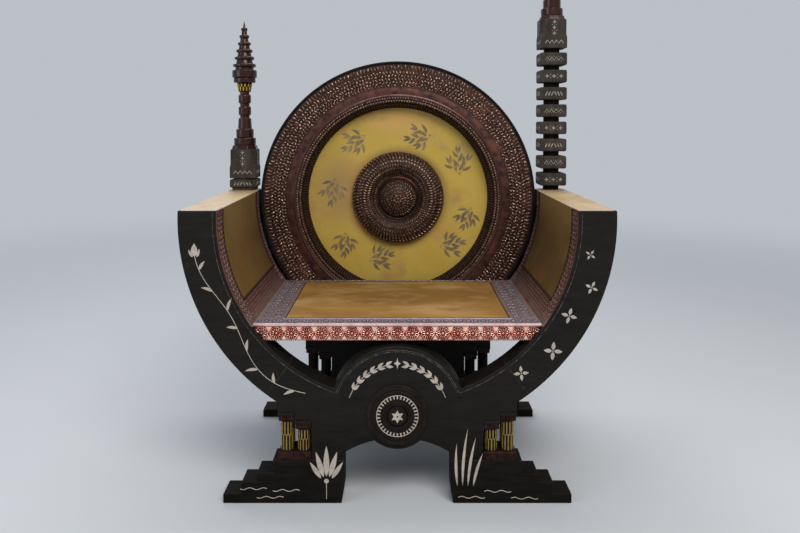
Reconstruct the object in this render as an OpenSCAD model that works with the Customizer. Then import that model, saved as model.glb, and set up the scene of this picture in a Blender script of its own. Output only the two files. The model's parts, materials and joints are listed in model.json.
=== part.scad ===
// Throne armchair: two matching bow frames on stepped feet, boxed arms, a slung seat,
// a round back and two unlike posts. All sizes are in millimetres.
// The front faces -Y, +X is right for a person who looks at the front, and Z = 0 is the floor.

/* [Bow frames] */
// Outside radius of the bow that makes the arms
bow_outer_r = 500; // [485:1:515]
// Radial width of the bow
bow_w = 88; // [82:1:94]
// Height of the lowest point of the bow circle above the floor
belly_z = 152; // [145:1:165]
// Rise of the arm tops above the bow centre
arm_rise = 23; // [18:1:40]
// Thickness of each frame from front to back
frame_t = 66; // [60:1:72]
// Clear depth between the front and rear frames
frame_gap = 424; // [410:1:450]
// Angle below level of the joint between bow and yoke
joint_angle = 53; // [50:1:55]

/* [Yoke] */
// Height of the hub centre
hub_z = 206; // [200:1:212]
// Radius of the arch over the hub
arch_r = 158; // [150:1:165]
// Radius of the round lobe that hangs below the hub
lobe_r = 80; // [76:1:86]
// Half width of the yoke at the knees
knee_x = 274; // [268:1:280]
// Half width to the line between the outer and inner bays
bay_x = 236; // [232:1:240]
// Half width to the outer side of the legs
leg_x = 197; // [192:1:200]
// Half width of the gap between the legs
leg_gap_x = 123; // [115:1:130]
// Height at which the bridge springs from the legs
bridge_spring_z = 117; // [112:1:122]
// Radius of the bridge curve between the legs
bridge_r = 233; // [220:1:250]

/* [Stepped feet] */
// Half width of the lowest step
foot_reach = 401; // [395:1:415]
// Heights of the steps from the floor upward
step_rise = [21.5, 27, 20.5, 30.5]; // [18:0.5:32]
// Set-back of each step from the one below
step_run = [42, 35, 37]; // [32:1:42]
// Height of the bevel on the inner corner of each foot
toe_h = 30; // [10:1:45]
// Width of the bevel on the inner corner of each foot
toe_w = 5.5; // [2:0.5:10]

/* [Colonnades] */
// Diameter of the striped shafts
shaft_d = 26; // [22:1:28]
// Distance between the front and back shafts of a bay
shaft_pitch = 31; // [29:1:34]
// Height of the base moulding
base_h = 20; // [16:1:24]
// Height of a capital
capital_h = 14; // [10:1:18]
// Width of a capital
capital_w = 35; // [30:1:36]
// Height of an abacus plate
abacus_h = 8; // [6:0.5:10]
// How far an abacus plate stands proud of the frame faces
abacus_lip = 2; // [1:0.5:4]
// Set-back of the base moulding and capitals from the frame faces
colonnade_inset = 3; // [1:0.5:4]

/* [Medallions] */
// Radius of a hub medallion
medal_r = 70; // [64:1:74]
// Height by which a medallion stands off the frame
medal_h = 10; // [8:0.5:14]
// Inner radius of the ticked ring
tick_r0 = 39.5; // [36:0.5:42]
// Outer radius of the ticked ring
tick_r1 = 49.5; // [46:0.5:52]
// Radius of the star
star_r = 14; // [11:0.5:17]
// Diameter of the stretcher between the hubs
stretcher_d = 36; // [30:1:42]
// Depth of the stretcher sockets in the yokes
stretcher_socket = 14; // [10:1:20]

/* [Arms] */
// Thickness of the arm boards
board_t = 12; // [10:0.5:15]
// Thickness of the parchment caps
cap_t = 8; // [6:0.5:10]
// Angle below level at which the arm boxes end
arm_end_angle = 41; // [40:0.5:43]
// Thickness of the copper border on the arms
border_t = 3; // [2:0.5:4]
// Width of the front strip of the arm border
arm_border_front = 48; // [40:1:56]
// Width of the rear strip of the arm border
arm_border_rear = 42; // [34:1:50]
// Angle below level of the lower edge of the arm panel
arm_panel_angle = 28; // [25:0.5:30]

/* [Seat] */
// Height of the seat top above the floor
seat_z = 413; // [408:1:420]
// Thickness of the seat border and seat panel
seat_sheet_t = 3; // [2:0.5:4]
// Thickness of the seat board
seat_board_t = 28; // [24:1:32]
// Height of the copper apron
apron_h = 36; // [32:1:40]
// Thickness of the copper apron
apron_t = 3; // [2:0.5:4]
// Set-back of the apron from the front of the frame
apron_recess = 14; // [8:1:22]
// Width of the seat border at each side of the panel
seat_border_side = 66.5; // [56:0.5:76]
// Set-back of the seat panel from the front of the frame
seat_panel_front = 60; // [54:1:70]
// Width of the seat border behind the panel
seat_border_back = 22.5; // [16:0.5:34]
// Length of the battens below the seat
batten_l = 400; // [360:5:440]

/* [Back] */
// Gap between the round back and the bows
disc_gap = 11; // [8:1:16]
// Thickness of the round back board
disc_board_t = 16; // [14:1:18]
// Height by which the rim stands in front of the board
rim_h = 44; // [38:1:46]
// Radial width of the rim at its front
rim_w = 120; // [115:1:125]
// Radial slope of the throat inside the rim
throat_slope = 11; // [6:1:16]
// Height of the copper ring on the rim
copper_h = 4.5; // [3:0.5:6]
// Width of the smooth crest of the copper ring
crest_w = 35; // [30:1:40]
// Width of the bead ring section
bead_w = 10; // [8:0.5:11]
// Outer radius of the boss
boss_r = 135; // [130:1:140]
// Inner radius of the boss ring
boss_inner_r = 59; // [56:1:64]
// Height of the dome at the middle of the boss
dome_h = 54; // [46:1:58]
// Thickness of the boss and dome sheet
shell_t = 2.5; // [1.5:0.5:4]
// Height of a back rail
rail_h = 50; // [40:1:60]
// Height of the upper back rail centre
upper_rail_z = 600; // [580:1:610]
// Height of the lower back rail centre
lower_rail_z = 460; // [450:1:480]
// Distance of the outer rail screws from the middle
rail_screw_x = 200; // [150:5:230]
// Length of the rail tenons in the bows
rail_tenon = 16; // [12:1:24]

/* [Posts] */
// Width of the square post blocks and plates
post_w = 76; // [70:1:80]
// Height of the post blocks
block_h = 84; // [78:1:90]
// Width of the corner chamfers on the blocks
block_chamfer = 11; // [8:0.5:14]
// Height of the square lower part of a block
block_square_h = 42; // [36:1:48]
// Height of the neck under the left plate
left_neck_h = 8.5; // [6:0.5:12]
// Height of the left plate
left_plate_h = 24.5; // [20:0.5:30]
// Height of the notch between the left plate and its block
left_notch_h = 3.5; // [2:0.5:6]
// Height of the rod below the lowest right plate
right_neck_h = 14.4; // [10:0.1:18]
// Height of one right plate
plate_h = 37; // [34:0.5:39]
// Spacing of the right plates
plate_pitch = 50.5; // [48:0.1:54]
// Number of right plates
plate_count = 8; // [6:1:9]
// Bevel on the plate edges
plate_bevel = 3; // [1:0.5:5]
// Diameter of the right rod
rod_d = 46; // [40:1:50]
// Diameter of the spigots between post pieces
spigot_d = 16; // [12:1:18]
// Length of the spigots
spigot_l = 20; // [14:1:24]

/* [Finials] */
// Height of the eight-sided shoulder
shoulder_h = 12.5; // [8:0.5:16]
// Height of the lower turned ring
ring1_h = 22; // [18:0.5:26]
// Radius of the lower turned ring
ring1_r = 32; // [29:0.5:34]
// Height of the upper turned ring
ring2_h = 26; // [22:0.5:30]
// Radius of the upper turned ring
ring2_r = 25.7; // [23:0.1:28]
// Height of the cone
cone_h = 32; // [26:0.5:38]
// Radius of the cone at its foot
cone_r = 20.5; // [19:0.5:22]
// Radius of the slender necks
neck_r = 14; // [12:0.5:15]
// Height of a slender neck
neck_h = 8.5; // [6:0.5:11]
// Height of a bead
bead_h = 26.5; // [22:0.5:30]
// Radius of a bead
bead_r = 18.3; // [16.5:0.1:20]
// Height of the striped collar
collar_h = 26; // [22:0.5:30]
// Top radius of the striped collar
collar_r = 21.5; // [20:0.5:23]
// Height of the cup
cup_h = 15; // [12:0.5:18]
// Radius of the cup
cup_r = 32; // [29:0.5:34]
// Height of the drum
drum_h = 23; // [18:0.5:27]
// Radius of the drum
drum_r = 36; // [34:0.5:37]
// Number of crown rings
crown_rings = 6; // [5:1:7]
// Spacing of the crown rings
crown_pitch = 21.4; // [19:0.1:24]
// Height of a crown ring
crown_ring_h = 10; // [8:0.5:12]
// Radius of the lowest crown ring
crown_r = 33.6; // [32:0.1:35]
// Step in radius from one crown ring to the next
crown_step = 4.8; // [4:0.1:5]
// Height of the tip
tip_h = 18; // [14:0.5:24]

/* [Fixings] */
// Diameter of the frame dowels
dowel_d = 14; // [12:0.5:16]
// Length of the frame dowels
dowel_l = 64; // [50:1:76]
// Diameter of the arm board dowels
arm_dowel_d = 7; // [6:0.5:8]
// Length of the arm board dowels
arm_dowel_l = 36; // [28:1:44]
// Angles below level of the arm board dowels
arm_dowel_angles = [10, 32]; // [8:1:36]
// Shank diameter of the wood screws
screw_d = 4.5; // [4:0.1:5]
// Length of the wood screws
screw_l = 28; // [24:0.5:30]
// Clearance round spigots, dowels, tenons and panels
fit = 0.15; // [0.1:0.05:0.3]
// Clearance between the seat or rails and the curve of the bows
curve_fit = 0.3; // [0.2:0.05:0.5]

/* [Hidden] */

$fn = 96;
bow_inner_r = bow_outer_r - bow_w;
bow_mid_r = bow_outer_r - bow_w / 2;
bow_z = belly_z + bow_outer_r;
arm_z = bow_z + arm_rise;
frame_y = (frame_gap + frame_t) / 2;
front_y = -frame_gap / 2 - frame_t;
back_y = frame_gap / 2 + frame_t;
far = 2.4 * bow_outer_r;
foot_h = step_rise[0] + step_rise[1] + step_rise[2] + step_rise[3];
step_x1 = foot_reach - step_run[0];
step_x2 = step_x1 - step_run[1];
step_x3 = step_x2 - step_run[2];
step_z1 = step_rise[0];
step_z2 = step_z1 + step_rise[1];
step_z3 = step_z2 + step_rise[2];
leg_mid_x = (leg_x + leg_gap_x) / 2;
outer_soffit_z = under_bow(bay_x);
inner_soffit_z = under_bow(leg_x);
plumb_lap = 1;
bridge_z = bridge_spring_z - sqrt(bridge_r * bridge_r - leg_gap_x * leg_gap_x);
outer_shaft_x = (knee_x + bay_x) / 2;
inner_shaft_x = (bay_x + leg_x) / 2;
base_top_z = foot_h + base_h;
tick_h = medal_h - 4;
tick_t = 1.5;
star_t = 1.2;
arm_panel_y0 = front_y + arm_border_front;
arm_panel_y1 = frame_gap / 2 - arm_border_rear;
seat_base_z = seat_z - seat_sheet_t;
batten_z = seat_base_z - seat_board_t;
batten_w = 45;
batten_t = 25;
apron_y = front_y + apron_recess;
panel_y0 = front_y + seat_panel_front;
disc_r = bow_inner_r - disc_gap;
rim_inner_r = disc_r - rim_w;
disc_back_y = back_y - disc_board_t;
disc_y = disc_back_y - disc_board_t;
disc_front_y = disc_y - rim_h - copper_h;
seat_back_y = disc_front_y - 1;
seat_half_w = sqrt(pow(bow_inner_r - border_t - curve_fit, 2) - pow(bow_z - seat_z, 2));
seat_panel_w = 2 * (seat_half_w - seat_border_side);
seat_panel_d = seat_back_y - seat_border_back - panel_y0;
batten_y = seat_panel_d / 4;
parchment_t = 2;
bead_ring_r = rim_inner_r + bead_w / 2;
copper_inner_r = rim_inner_r + bead_w + 1;
post_x = bow_mid_r;
left_block_z = arm_z + left_neck_h + left_plate_h + left_notch_h;
right_block_z = arm_z + right_neck_h + plate_count * plate_pitch;
stem_shaft_r = 10;
collar_z = shoulder_h + ring1_h + ring2_h + cone_h + 3 * neck_h + 2 * bead_h;
crown_z = collar_z + collar_h;
crown_ring_z = cup_h + drum_h + neck_h;
crown_h = crown_ring_z + (crown_rings - 1) * crown_pitch + crown_ring_h;

// Height of the underside of the bow at a distance from the middle
function under_bow(x) = bow_z - sqrt(bow_outer_r * bow_outer_r - x * x);

// A flat outline in X and Z, made into a plate centred on Y = 0
module plate_xz(t) {
    rotate([90, 0, 0]) linear_extrude(t, center = true) children();
}

// A flat outline in X and Z, made into a plate between two Y values
module plate_between(y0, y1) {
    translate([0, y1, 0]) rotate([90, 0, 0]) linear_extrude(y1 - y0) children();
}

// The right-hand piece, or its mirror image on the left
module sided(s) {
    mirror([s < 0 ? 1 : 0, 0, 0]) children();
}

// A ring between two radii about the bow centre
module ring_2d(r0, r1) {
    translate([0, bow_z]) difference() {
        circle(r1);
        circle(r0);
    }
}

// A wedge on the right between two angles below level
module wedge_2d(a0, a1) {
    polygon([[0, bow_z],
        [far * cos(a0), bow_z - far * sin(a0)],
        [far * cos(a1), bow_z - far * sin(a1)]]);
}

// The right half plane between two heights
module band_2d(z0, z1) {
    translate([0, z0]) square([far, z1 - z0]);
}

// Joint dowels between a bow and the yoke
module bow_dowels(d, l) {
    for (k = [-1, 1]) {
        r = bow_mid_r + k * bow_w / 4;
        translate([r * cos(joint_angle), 0, bow_z - r * sin(joint_angle)])
            rotate([0, joint_angle, 0]) cylinder(d = d, h = l, center = true);
    }
}

// Joint dowels between a leg and its foot
module foot_dowels(d, l) {
    for (k = [-1, 1]) translate([leg_mid_x, k * frame_t / 4, foot_h]) cylinder(d = d, h = l, center = true);
}

// Dowels between the arm boards and the frames
module arm_dowels(d, l) {
    for (r = [bow_inner_r + board_t / 2, bow_outer_r - board_t / 2], a = arm_dowel_angles, k = [-1, 1]) {
        translate([r * cos(a), k * frame_gap / 2, bow_z - r * sin(a)])
            rotate([90, 0, 0]) cylinder(d = d, h = l, center = true);
    }
}

// Dowel that holds a post on its bow
module post_dowel(d, l) {
    translate([post_x, frame_y, arm_z]) cylinder(d = d, h = l, center = true);
}

// One bow, from the arm top down to the yoke
module bow() {
    plate_xz(frame_t) intersection() {
        ring_2d(bow_inner_r, bow_outer_r);
        wedge_2d(-20, joint_angle);
        band_2d(0, arm_z);
    }
}

// A square knee over one bay, sunk into the bow above it
module knee_2d(x0, x1) {
    z = under_bow(x0);
    translate([x0 - 1, z]) square([x1 - x0 + 1, under_bow(x1) + bow_w / 4 - z]);
}

// The yoke: hub arch, knees, bridge and upper legs
module yoke_2d() {
    difference() {
        union() {
            for (s = [-1, 1]) mirror([s < 0 ? 1 : 0, 0]) intersection() {
                union() {
                    ring_2d(bow_inner_r, bow_outer_r);
                    knee_2d(leg_x, bay_x);
                    knee_2d(bay_x, knee_x);
                }
                wedge_2d(joint_angle, 90 + plumb_lap);
            }
            intersection() {
                translate([0, hub_z]) circle(arch_r);
                translate([-arch_r, hub_z]) square([2 * arch_r, arch_r + 1]);
            }
            translate([-leg_x, foot_h]) square([2 * leg_x, hub_z - foot_h + 1]);
        }
        intersection() {
            translate([0, bridge_z]) circle(bridge_r);
            translate([-leg_gap_x, 0]) square([2 * leg_gap_x, far]);
        }
    }
    translate([0, hub_z]) circle(lobe_r);
}

module yoke(f) {
    difference() {
        plate_xz(frame_t) yoke_2d();
        for (s = [-1, 1]) sided(s) {
            bow_dowels(dowel_d + 2 * fit, dowel_l + 2);
            foot_dowels(dowel_d + 2 * fit, dowel_l + 2);
        }
        translate([0, -f * frame_t / 2, hub_z]) rotate([90, 0, 0])
            cylinder(d = stretcher_d + 2 * fit, h = 2 * stretcher_socket + 1, center = true);
    }
}

// A stepped foot
module foot() {
    difference() {
        plate_xz(frame_t) polygon([[leg_gap_x + toe_w, 0], [foot_reach, 0],
            [foot_reach, step_z1], [step_x1, step_z1], [step_x1, step_z2], [step_x2, step_z2],
            [step_x2, step_z3], [step_x3, step_z3], [step_x3, foot_h], [leg_gap_x, foot_h],
            [leg_gap_x, toe_h]]);
        foot_dowels(dowel_d + 2 * fit, dowel_l + 2);
    }
}

module front_bow(s) {
    color([0.07, 0.065, 0.06]) sided(s) difference() {
        translate([0, -frame_y, 0]) bow();
        translate([0, -frame_y, 0]) bow_dowels(dowel_d + 2 * fit, dowel_l + 2);
        arm_dowels(arm_dowel_d + 2 * fit, arm_dowel_l + 1);
    }
}

module rear_bow(s) {
    color([0.07, 0.065, 0.06]) sided(s) difference() {
        translate([0, frame_y, 0]) bow();
        translate([0, frame_y, 0]) bow_dowels(dowel_d + 2 * fit, dowel_l + 2);
        arm_dowels(arm_dowel_d + 2 * fit, arm_dowel_l + 1);
        post_dowel(dowel_d + 2 * fit, dowel_l + 2);
        rail_tenons(fit);
    }
}

module front_bow_left() {
    front_bow(-1);
}

module front_bow_right() {
    front_bow(1);
}

module front_yoke() {
    color([0.07, 0.065, 0.06]) translate([0, -frame_y, 0]) yoke(-1);
}

module front_foot_left() {
    color([0.07, 0.065, 0.06]) translate([0, -frame_y, 0]) sided(-1) foot();
}

module front_foot_right() {
    color([0.07, 0.065, 0.06]) translate([0, -frame_y, 0]) foot();
}

module rear_bow_left() {
    rear_bow(-1);
}

module rear_bow_right() {
    rear_bow(1);
}

module rear_yoke() {
    color([0.07, 0.065, 0.06]) translate([0, frame_y, 0]) yoke(1);
}

module rear_foot_left() {
    color([0.07, 0.065, 0.06]) translate([0, frame_y, 0]) sided(-1) foot();
}

module rear_foot_right() {
    color([0.07, 0.065, 0.06]) translate([0, frame_y, 0]) foot();
}

// Base mouldings of the two colonnades of a frame
module bases() {
    color([0.2, 0.07, 0.05]) for (s = [-1, 1]) sided(s) {
        d = frame_t - 2 * colonnade_inset;
        translate([leg_x + 1, -d / 2, foot_h]) cube([knee_x - leg_x - 1, d, base_h]);
    }
}

// Striped shafts, a front and a back one in each bay
module shafts() {
    color([0.45, 0.36, 0.14]) for (s = [-1, 1], k = [-1, 1]) sided(s) {
        translate([outer_shaft_x, k * shaft_pitch / 2, base_top_z])
            cylinder(d = shaft_d, h = outer_soffit_z - abacus_h - capital_h - base_top_z);
        translate([inner_shaft_x, k * shaft_pitch / 2, base_top_z])
            cylinder(d = shaft_d, h = inner_soffit_z - abacus_h - capital_h - base_top_z);
    }
}

// Capitals, one over the two shafts of a bay
module capitals() {
    d = frame_t - 2 * colonnade_inset;
    color([0.2, 0.07, 0.05]) for (s = [-1, 1]) sided(s) {
        translate([outer_shaft_x - capital_w / 2, -d / 2, outer_soffit_z - abacus_h - capital_h])
            cube([capital_w, d, capital_h]);
        translate([inner_shaft_x - capital_w / 2, -d / 2, inner_soffit_z - abacus_h - capital_h])
            cube([capital_w, d, capital_h]);
    }
}

// Abacus plates between the capitals and the yoke
module abaci() {
    d = frame_t + 2 * abacus_lip;
    color([0.1, 0.1, 0.09]) for (s = [-1, 1]) sided(s) {
        translate([bay_x + fit, -d / 2, outer_soffit_z - abacus_h])
            cube([knee_x - bay_x - fit, d, abacus_h]);
        translate([leg_x + fit, -d / 2, inner_soffit_z - abacus_h])
            cube([bay_x - leg_x - 2 * fit, d, abacus_h]);
    }
}

module front_bases() {
    translate([0, -frame_y, 0]) bases();
}

module front_shafts() {
    translate([0, -frame_y, 0]) shafts();
}

module front_capitals() {
    translate([0, -frame_y, 0]) capitals();
}

module front_abaci() {
    translate([0, -frame_y, 0]) abaci();
}

module rear_bases() {
    translate([0, frame_y, 0]) bases();
}

module rear_shafts() {
    translate([0, frame_y, 0]) shafts();
}

module rear_capitals() {
    translate([0, frame_y, 0]) capitals();
}

module rear_abaci() {
    translate([0, frame_y, 0]) abaci();
}

// Carries a turned piece to the hub of the front or rear frame, facing outward
module at_hub(f) {
    translate([0, f * back_y, hub_z]) rotate([-f * 90, 0, 0]) children();
}

// Turned medallion disc with a channel for the ticked ring
module medallion() {
    color([0.09, 0.085, 0.08]) rotate_extrude() polygon([[0, 0], [medal_r, 0], [medal_r, tick_h - 3],
        [medal_r - 3, tick_h], [medal_r - 12, tick_h], [tick_r1 + 4, medal_h - 2],
        [tick_r1 + fit, medal_h - 2], [tick_r1 + fit, tick_h], [tick_r0 - fit, tick_h],
        [tick_r0 - fit, medal_h - 2], [tick_r0 - 13, medal_h - 2], [tick_r0 - 15, tick_h - 1],
        [tick_r0 - 17, medal_h - 2], [tick_r0 - 19, medal_h], [0, medal_h]]);
}

// Flat ring in the medallion channel
module tick_ring() {
    color([0.75, 0.72, 0.66]) translate([0, 0, tick_h]) linear_extrude(tick_t) difference() {
        circle(tick_r1);
        circle(tick_r0);
    }
}

// Six-petal star on the middle of the medallion
module star() {
    color([0.75, 0.72, 0.66]) translate([0, 0, medal_h]) linear_extrude(star_t) union() {
        circle(star_r / 4);
        for (a = [0 : 60 : 300]) rotate(a) intersection() {
            translate([star_r / 2, -0.55 * star_r]) circle(0.74 * star_r);
            translate([star_r / 2, 0.55 * star_r]) circle(0.74 * star_r);
        }
    }
}

module front_medallion() {
    at_hub(-1) medallion();
}

module front_tick_ring() {
    at_hub(-1) tick_ring();
}

module front_star() {
    at_hub(-1) star();
}

module rear_medallion() {
    at_hub(1) medallion();
}

module rear_tick_ring() {
    at_hub(1) tick_ring();
}

module rear_star() {
    at_hub(1) star();
}

module hub_stretcher() {
    color([0.09, 0.08, 0.07]) translate([0, 0, hub_z]) rotate([90, 0, 0])
        cylinder(d = stretcher_d, h = frame_gap + 2 * stretcher_socket, center = true);
}

// Outline of an arm box between two radii
module arm_2d(r0, r1) {
    intersection() {
        ring_2d(r0, r1);
        wedge_2d(-20, arm_end_angle);
        band_2d(0, arm_z - cap_t);
    }
}

module arm_inner(s) {
    color([0.1, 0.09, 0.08]) sided(s) difference() {
        plate_xz(frame_gap) arm_2d(bow_inner_r, bow_inner_r + board_t);
        arm_dowels(arm_dowel_d + 2 * fit, arm_dowel_l + 1);
    }
}

module arm_outer(s) {
    color([0.1, 0.09, 0.08]) sided(s) difference() {
        plate_xz(frame_gap) arm_2d(bow_outer_r - board_t, bow_outer_r);
        arm_dowels(arm_dowel_d + 2 * fit, arm_dowel_l + 1);
    }
}

// Parchment cap on an arm box
module arm_cap(s) {
    color([0.85, 0.76, 0.58]) sided(s) plate_xz(frame_gap) intersection() {
        ring_2d(bow_inner_r, bow_outer_r);
        band_2d(arm_z - cap_t, arm_z);
    }
}

// Copper border inside an arm: front, lower and rear strips
module arm_border(s) {
    color([0.4, 0.2, 0.16]) sided(s) difference() {
        plate_between(front_y, frame_gap / 2) intersection() {
            ring_2d(bow_inner_r - border_t, bow_inner_r);
            band_2d(seat_base_z, arm_z);
        }
        plate_between(arm_panel_y0, arm_panel_y1) wedge_2d(-20, arm_panel_angle);
    }
}

// Parchment panel inside an arm
module arm_panel(s) {
    color([0.55, 0.42, 0.24]) sided(s)
        plate_between(arm_panel_y0 + fit, arm_panel_y1 - fit) intersection() {
            ring_2d(bow_inner_r - border_t + 1, bow_inner_r);
            wedge_2d(-20, arm_panel_angle - 0.02);
            band_2d(0, arm_z);
        }
}

module arm_inner_left() {
    arm_inner(-1);
}

module arm_inner_right() {
    arm_inner(1);
}

module arm_outer_left() {
    arm_outer(-1);
}

module arm_outer_right() {
    arm_outer(1);
}

// Rails that close the lower ends of the arm boxes
module arm_soles() {
    color([0.08, 0.075, 0.07]) for (s = [-1, 1]) sided(s) plate_xz(frame_gap) intersection() {
        ring_2d(bow_inner_r + board_t + fit, bow_outer_r - board_t - fit);
        wedge_2d(arm_end_angle - 2, arm_end_angle);
    }
}

module arm_cap_left() {
    arm_cap(-1);
}

module arm_cap_right() {
    arm_cap(1);
}

module arm_border_left() {
    arm_border(-1);
}

module arm_border_right() {
    arm_border(1);
}

module arm_panel_left() {
    arm_panel(-1);
}

module arm_panel_right() {
    arm_panel(1);
}

// A level slice of the space inside the bows
module slung_2d(r, z0, z1) {
    intersection() {
        translate([0, bow_z]) circle(r);
        translate([-far, z0]) square([2 * far, z1 - z0]);
    }
}

// Screws up through the battens into the seat board
module seat_screws(grow) {
    for (x = [-1, 0, 1], k = [-1, 1])
        translate([x * batten_l / 3, k * batten_y, batten_z - batten_t]) screw(grow);
}

module seat_board() {
    color([0.09, 0.08, 0.07]) difference() {
        plate_between(apron_y + apron_t, seat_back_y)
            slung_2d(bow_inner_r - curve_fit, batten_z, seat_base_z);
        seat_screws(0.1);
    }
}

module seat_border() {
    color([0.45, 0.4, 0.4]) difference() {
        plate_between(apron_y, seat_back_y)
            slung_2d(bow_inner_r - border_t - curve_fit, seat_base_z, seat_z);
        translate([-seat_panel_w / 2, panel_y0, seat_base_z - 1])
            cube([seat_panel_w, seat_panel_d, seat_sheet_t + 2]);
    }
}

module seat_panel() {
    color([0.6, 0.43, 0.2]) translate([-seat_panel_w / 2 + fit, panel_y0 + fit, seat_base_z])
        cube([seat_panel_w - 2 * fit, seat_panel_d - 2 * fit, seat_sheet_t]);
}

module seat_apron() {
    color([0.62, 0.3, 0.24]) plate_between(apron_y, apron_y + apron_t)
        slung_2d(bow_inner_r - curve_fit, seat_base_z - apron_h, seat_base_z);
}

module seat_battens() {
    color([0.09, 0.08, 0.07]) difference() {
        for (k = [-1, 1]) translate([-batten_l / 2, k * batten_y - batten_w / 2, batten_z - batten_t])
            cube([batten_l, batten_w, batten_t]);
        seat_screws(0.1);
    }
}

// Carries a turned piece to the front face of the round back board
module at_disc() {
    translate([0, disc_y, bow_z]) rotate([90, 0, 0]) children();
}

// Clearance for the rear yoke's arch at the foot of the round back
module arch_cut() {
    translate([0, 0, hub_z]) rotate([90, 0, 0])
        cylinder(r = arch_r + curve_fit, h = 2 * back_y, center = true);
}

module back_board() {
    color([0.08, 0.07, 0.06]) difference() {
        at_disc() translate([0, 0, -disc_board_t]) cylinder(r = disc_r - 3, h = disc_board_t);
        arch_cut();
        rail_screws(0.1);
    }
}

// Deep wooden rim with a sloping inner side
module back_rim() {
    color([0.07, 0.06, 0.055]) difference() {
        at_disc() rotate_extrude() polygon([[rim_inner_r - throat_slope, 0], [disc_r, 0],
            [disc_r, rim_h], [rim_inner_r, rim_h]]);
        arch_cut();
    }
}

// Copper ring on the front of the rim
module back_copper() {
    color([0.3, 0.17, 0.13]) difference() {
        at_disc() translate([0, 0, rim_h]) rotate_extrude() polygon([[copper_inner_r, 0],
            [disc_r - 3, 0], [disc_r - 3, copper_h / 3], [disc_r - 8, 0.6 * copper_h],
            [copper_inner_r + crest_w + 3, 0.6 * copper_h], [copper_inner_r + crest_w, copper_h / 3],
            [copper_inner_r + 0.8 * crest_w, 0.85 * copper_h], [copper_inner_r + 0.5 * crest_w, copper_h],
            [copper_inner_r + 0.2 * crest_w, 0.85 * copper_h], [copper_inner_r, copper_h / 3]]);
        arch_cut();
    }
}

// Bead ring round the inner edge of the copper
module back_bead() {
    color([0.35, 0.2, 0.15]) difference() {
        at_disc() translate([0, 0, rim_h]) rotate_extrude() intersection() {
            translate([bead_ring_r, bead_w / 5]) circle(bead_w / 2);
            translate([0, 0]) square([disc_r, bead_w]);
        }
        arch_cut();
    }
}

// Sloping ribbed sheet from the bead ring down to the parchment
module back_throat() {
    color([0.22, 0.12, 0.09]) difference() {
        at_disc() rotate_extrude() polygon([[rim_inner_r - throat_slope - 2.5, 0],
            [rim_inner_r - throat_slope - 0.3, 0], [rim_inner_r - 0.3, rim_h], [rim_inner_r - 2.5, rim_h]]);
        arch_cut();
    }
}

module back_parchment() {
    color([0.7, 0.6, 0.25]) difference() {
        at_disc() linear_extrude(parchment_t) circle(rim_inner_r - throat_slope - 2.5 - fit);
        arch_cut();
    }
}

// Round-backed copper ring of the boss
module back_boss() {
    r = (boss_r - boss_inner_r) / 2;
    color([0.3, 0.17, 0.13]) at_disc() translate([0, 0, parchment_t]) rotate_extrude() difference() {
        intersection() {
            translate([boss_inner_r + r, 0]) circle(r);
            square([boss_r + 1, r + 1]);
        }
        translate([boss_inner_r + r, 0]) circle(r - shell_t);
    }
}

// Dome in the middle of the boss
module back_dome() {
    r = boss_inner_r - 1;
    w = 0.58 * dome_h;
    ball = (r * r + w * w) / (2 * w);
    color([0.33, 0.19, 0.15]) at_disc() translate([0, 0, parchment_t]) rotate_extrude() difference() {
        intersection() {
            translate([0, dome_h - ball]) circle(ball);
            square([r, dome_h + 1]);
        }
        intersection() {
            translate([0, dome_h - ball]) circle(ball - shell_t);
            translate([0, -1]) square([r - shell_t, dome_h + 1]);
        }
    }
}

// Tenons at the ends of the back rails, grown by a clearance to make the mortises
module rail_tenons(grow) {
    for (z = [upper_rail_z, lower_rail_z]) {
        reach = sqrt(pow(bow_inner_r, 2) - pow(bow_z - z + rail_h / 4, 2)) + rail_tenon;
        translate([0, disc_back_y + disc_board_t / 4 - grow, z - rail_h / 4 - grow])
            cube([reach + grow, disc_board_t / 2 + 2 * grow, rail_h / 2 + 2 * grow]);
    }
}

// Screws through the back rails into the round board
module rail_screws(grow) {
    for (z = [upper_rail_z, lower_rail_z], x = [-rail_screw_x, 0, rail_screw_x])
        translate([x, back_y, z]) rotate([90, 0, 0]) screw(grow);
}

module back_rails() {
    color([0.08, 0.07, 0.06]) difference() {
        union() {
            for (z = [upper_rail_z, lower_rail_z]) plate_between(disc_back_y, back_y)
                slung_2d(bow_inner_r - curve_fit, z - rail_h / 2, z + rail_h / 2);
            for (s = [-1, 1]) sided(s) rail_tenons(0);
        }
        rail_screws(0.1);
    }
}

// A countersunk wood screw with its head at Z = 0, pointing up
module screw(grow) {
    cylinder(d1 = 2 * screw_d + 2 * grow, d2 = screw_d + 2 * grow, h = screw_d / 2);
    cylinder(d = screw_d + 2 * grow, h = screw_l + grow);
}

// A square plate with bevelled upper and lower edges
module bevel_plate(w, h, b) {
    p = [[-w / 2, b], [-w / 2 + b, 0], [w / 2 - b, 0], [w / 2, b],
        [w / 2, h - b], [w / 2 - b, h], [-w / 2 + b, h], [-w / 2, h - b]];
    intersection() {
        plate_xz(w) polygon(p);
        rotate(90) plate_xz(w) polygon(p);
    }
}

// A post block: square below, with chamfered corners above
module post_block() {
    d = (post_w - block_chamfer) / sqrt(2);
    difference() {
        translate([-post_w / 2, -post_w / 2, 0]) cube([post_w, post_w, block_h]);
        for (a = [45 : 90 : 315]) rotate(a) translate([d, -post_w / 2, block_square_h]) {
            cube([post_w, post_w, block_h]);
            rotate([0, 58, 0]) cube([post_w, post_w, block_h]);
        }
        translate([0, 0, -1]) cylinder(d = spigot_d + 2 * fit, h = spigot_l + 2);
        translate([0, 0, block_h - spigot_l - 1]) cylinder(d = spigot_d + 2 * fit, h = spigot_l + 2);
    }
}

module at_left_post(z) {
    translate([-post_x, frame_y, z]) children();
}

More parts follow.
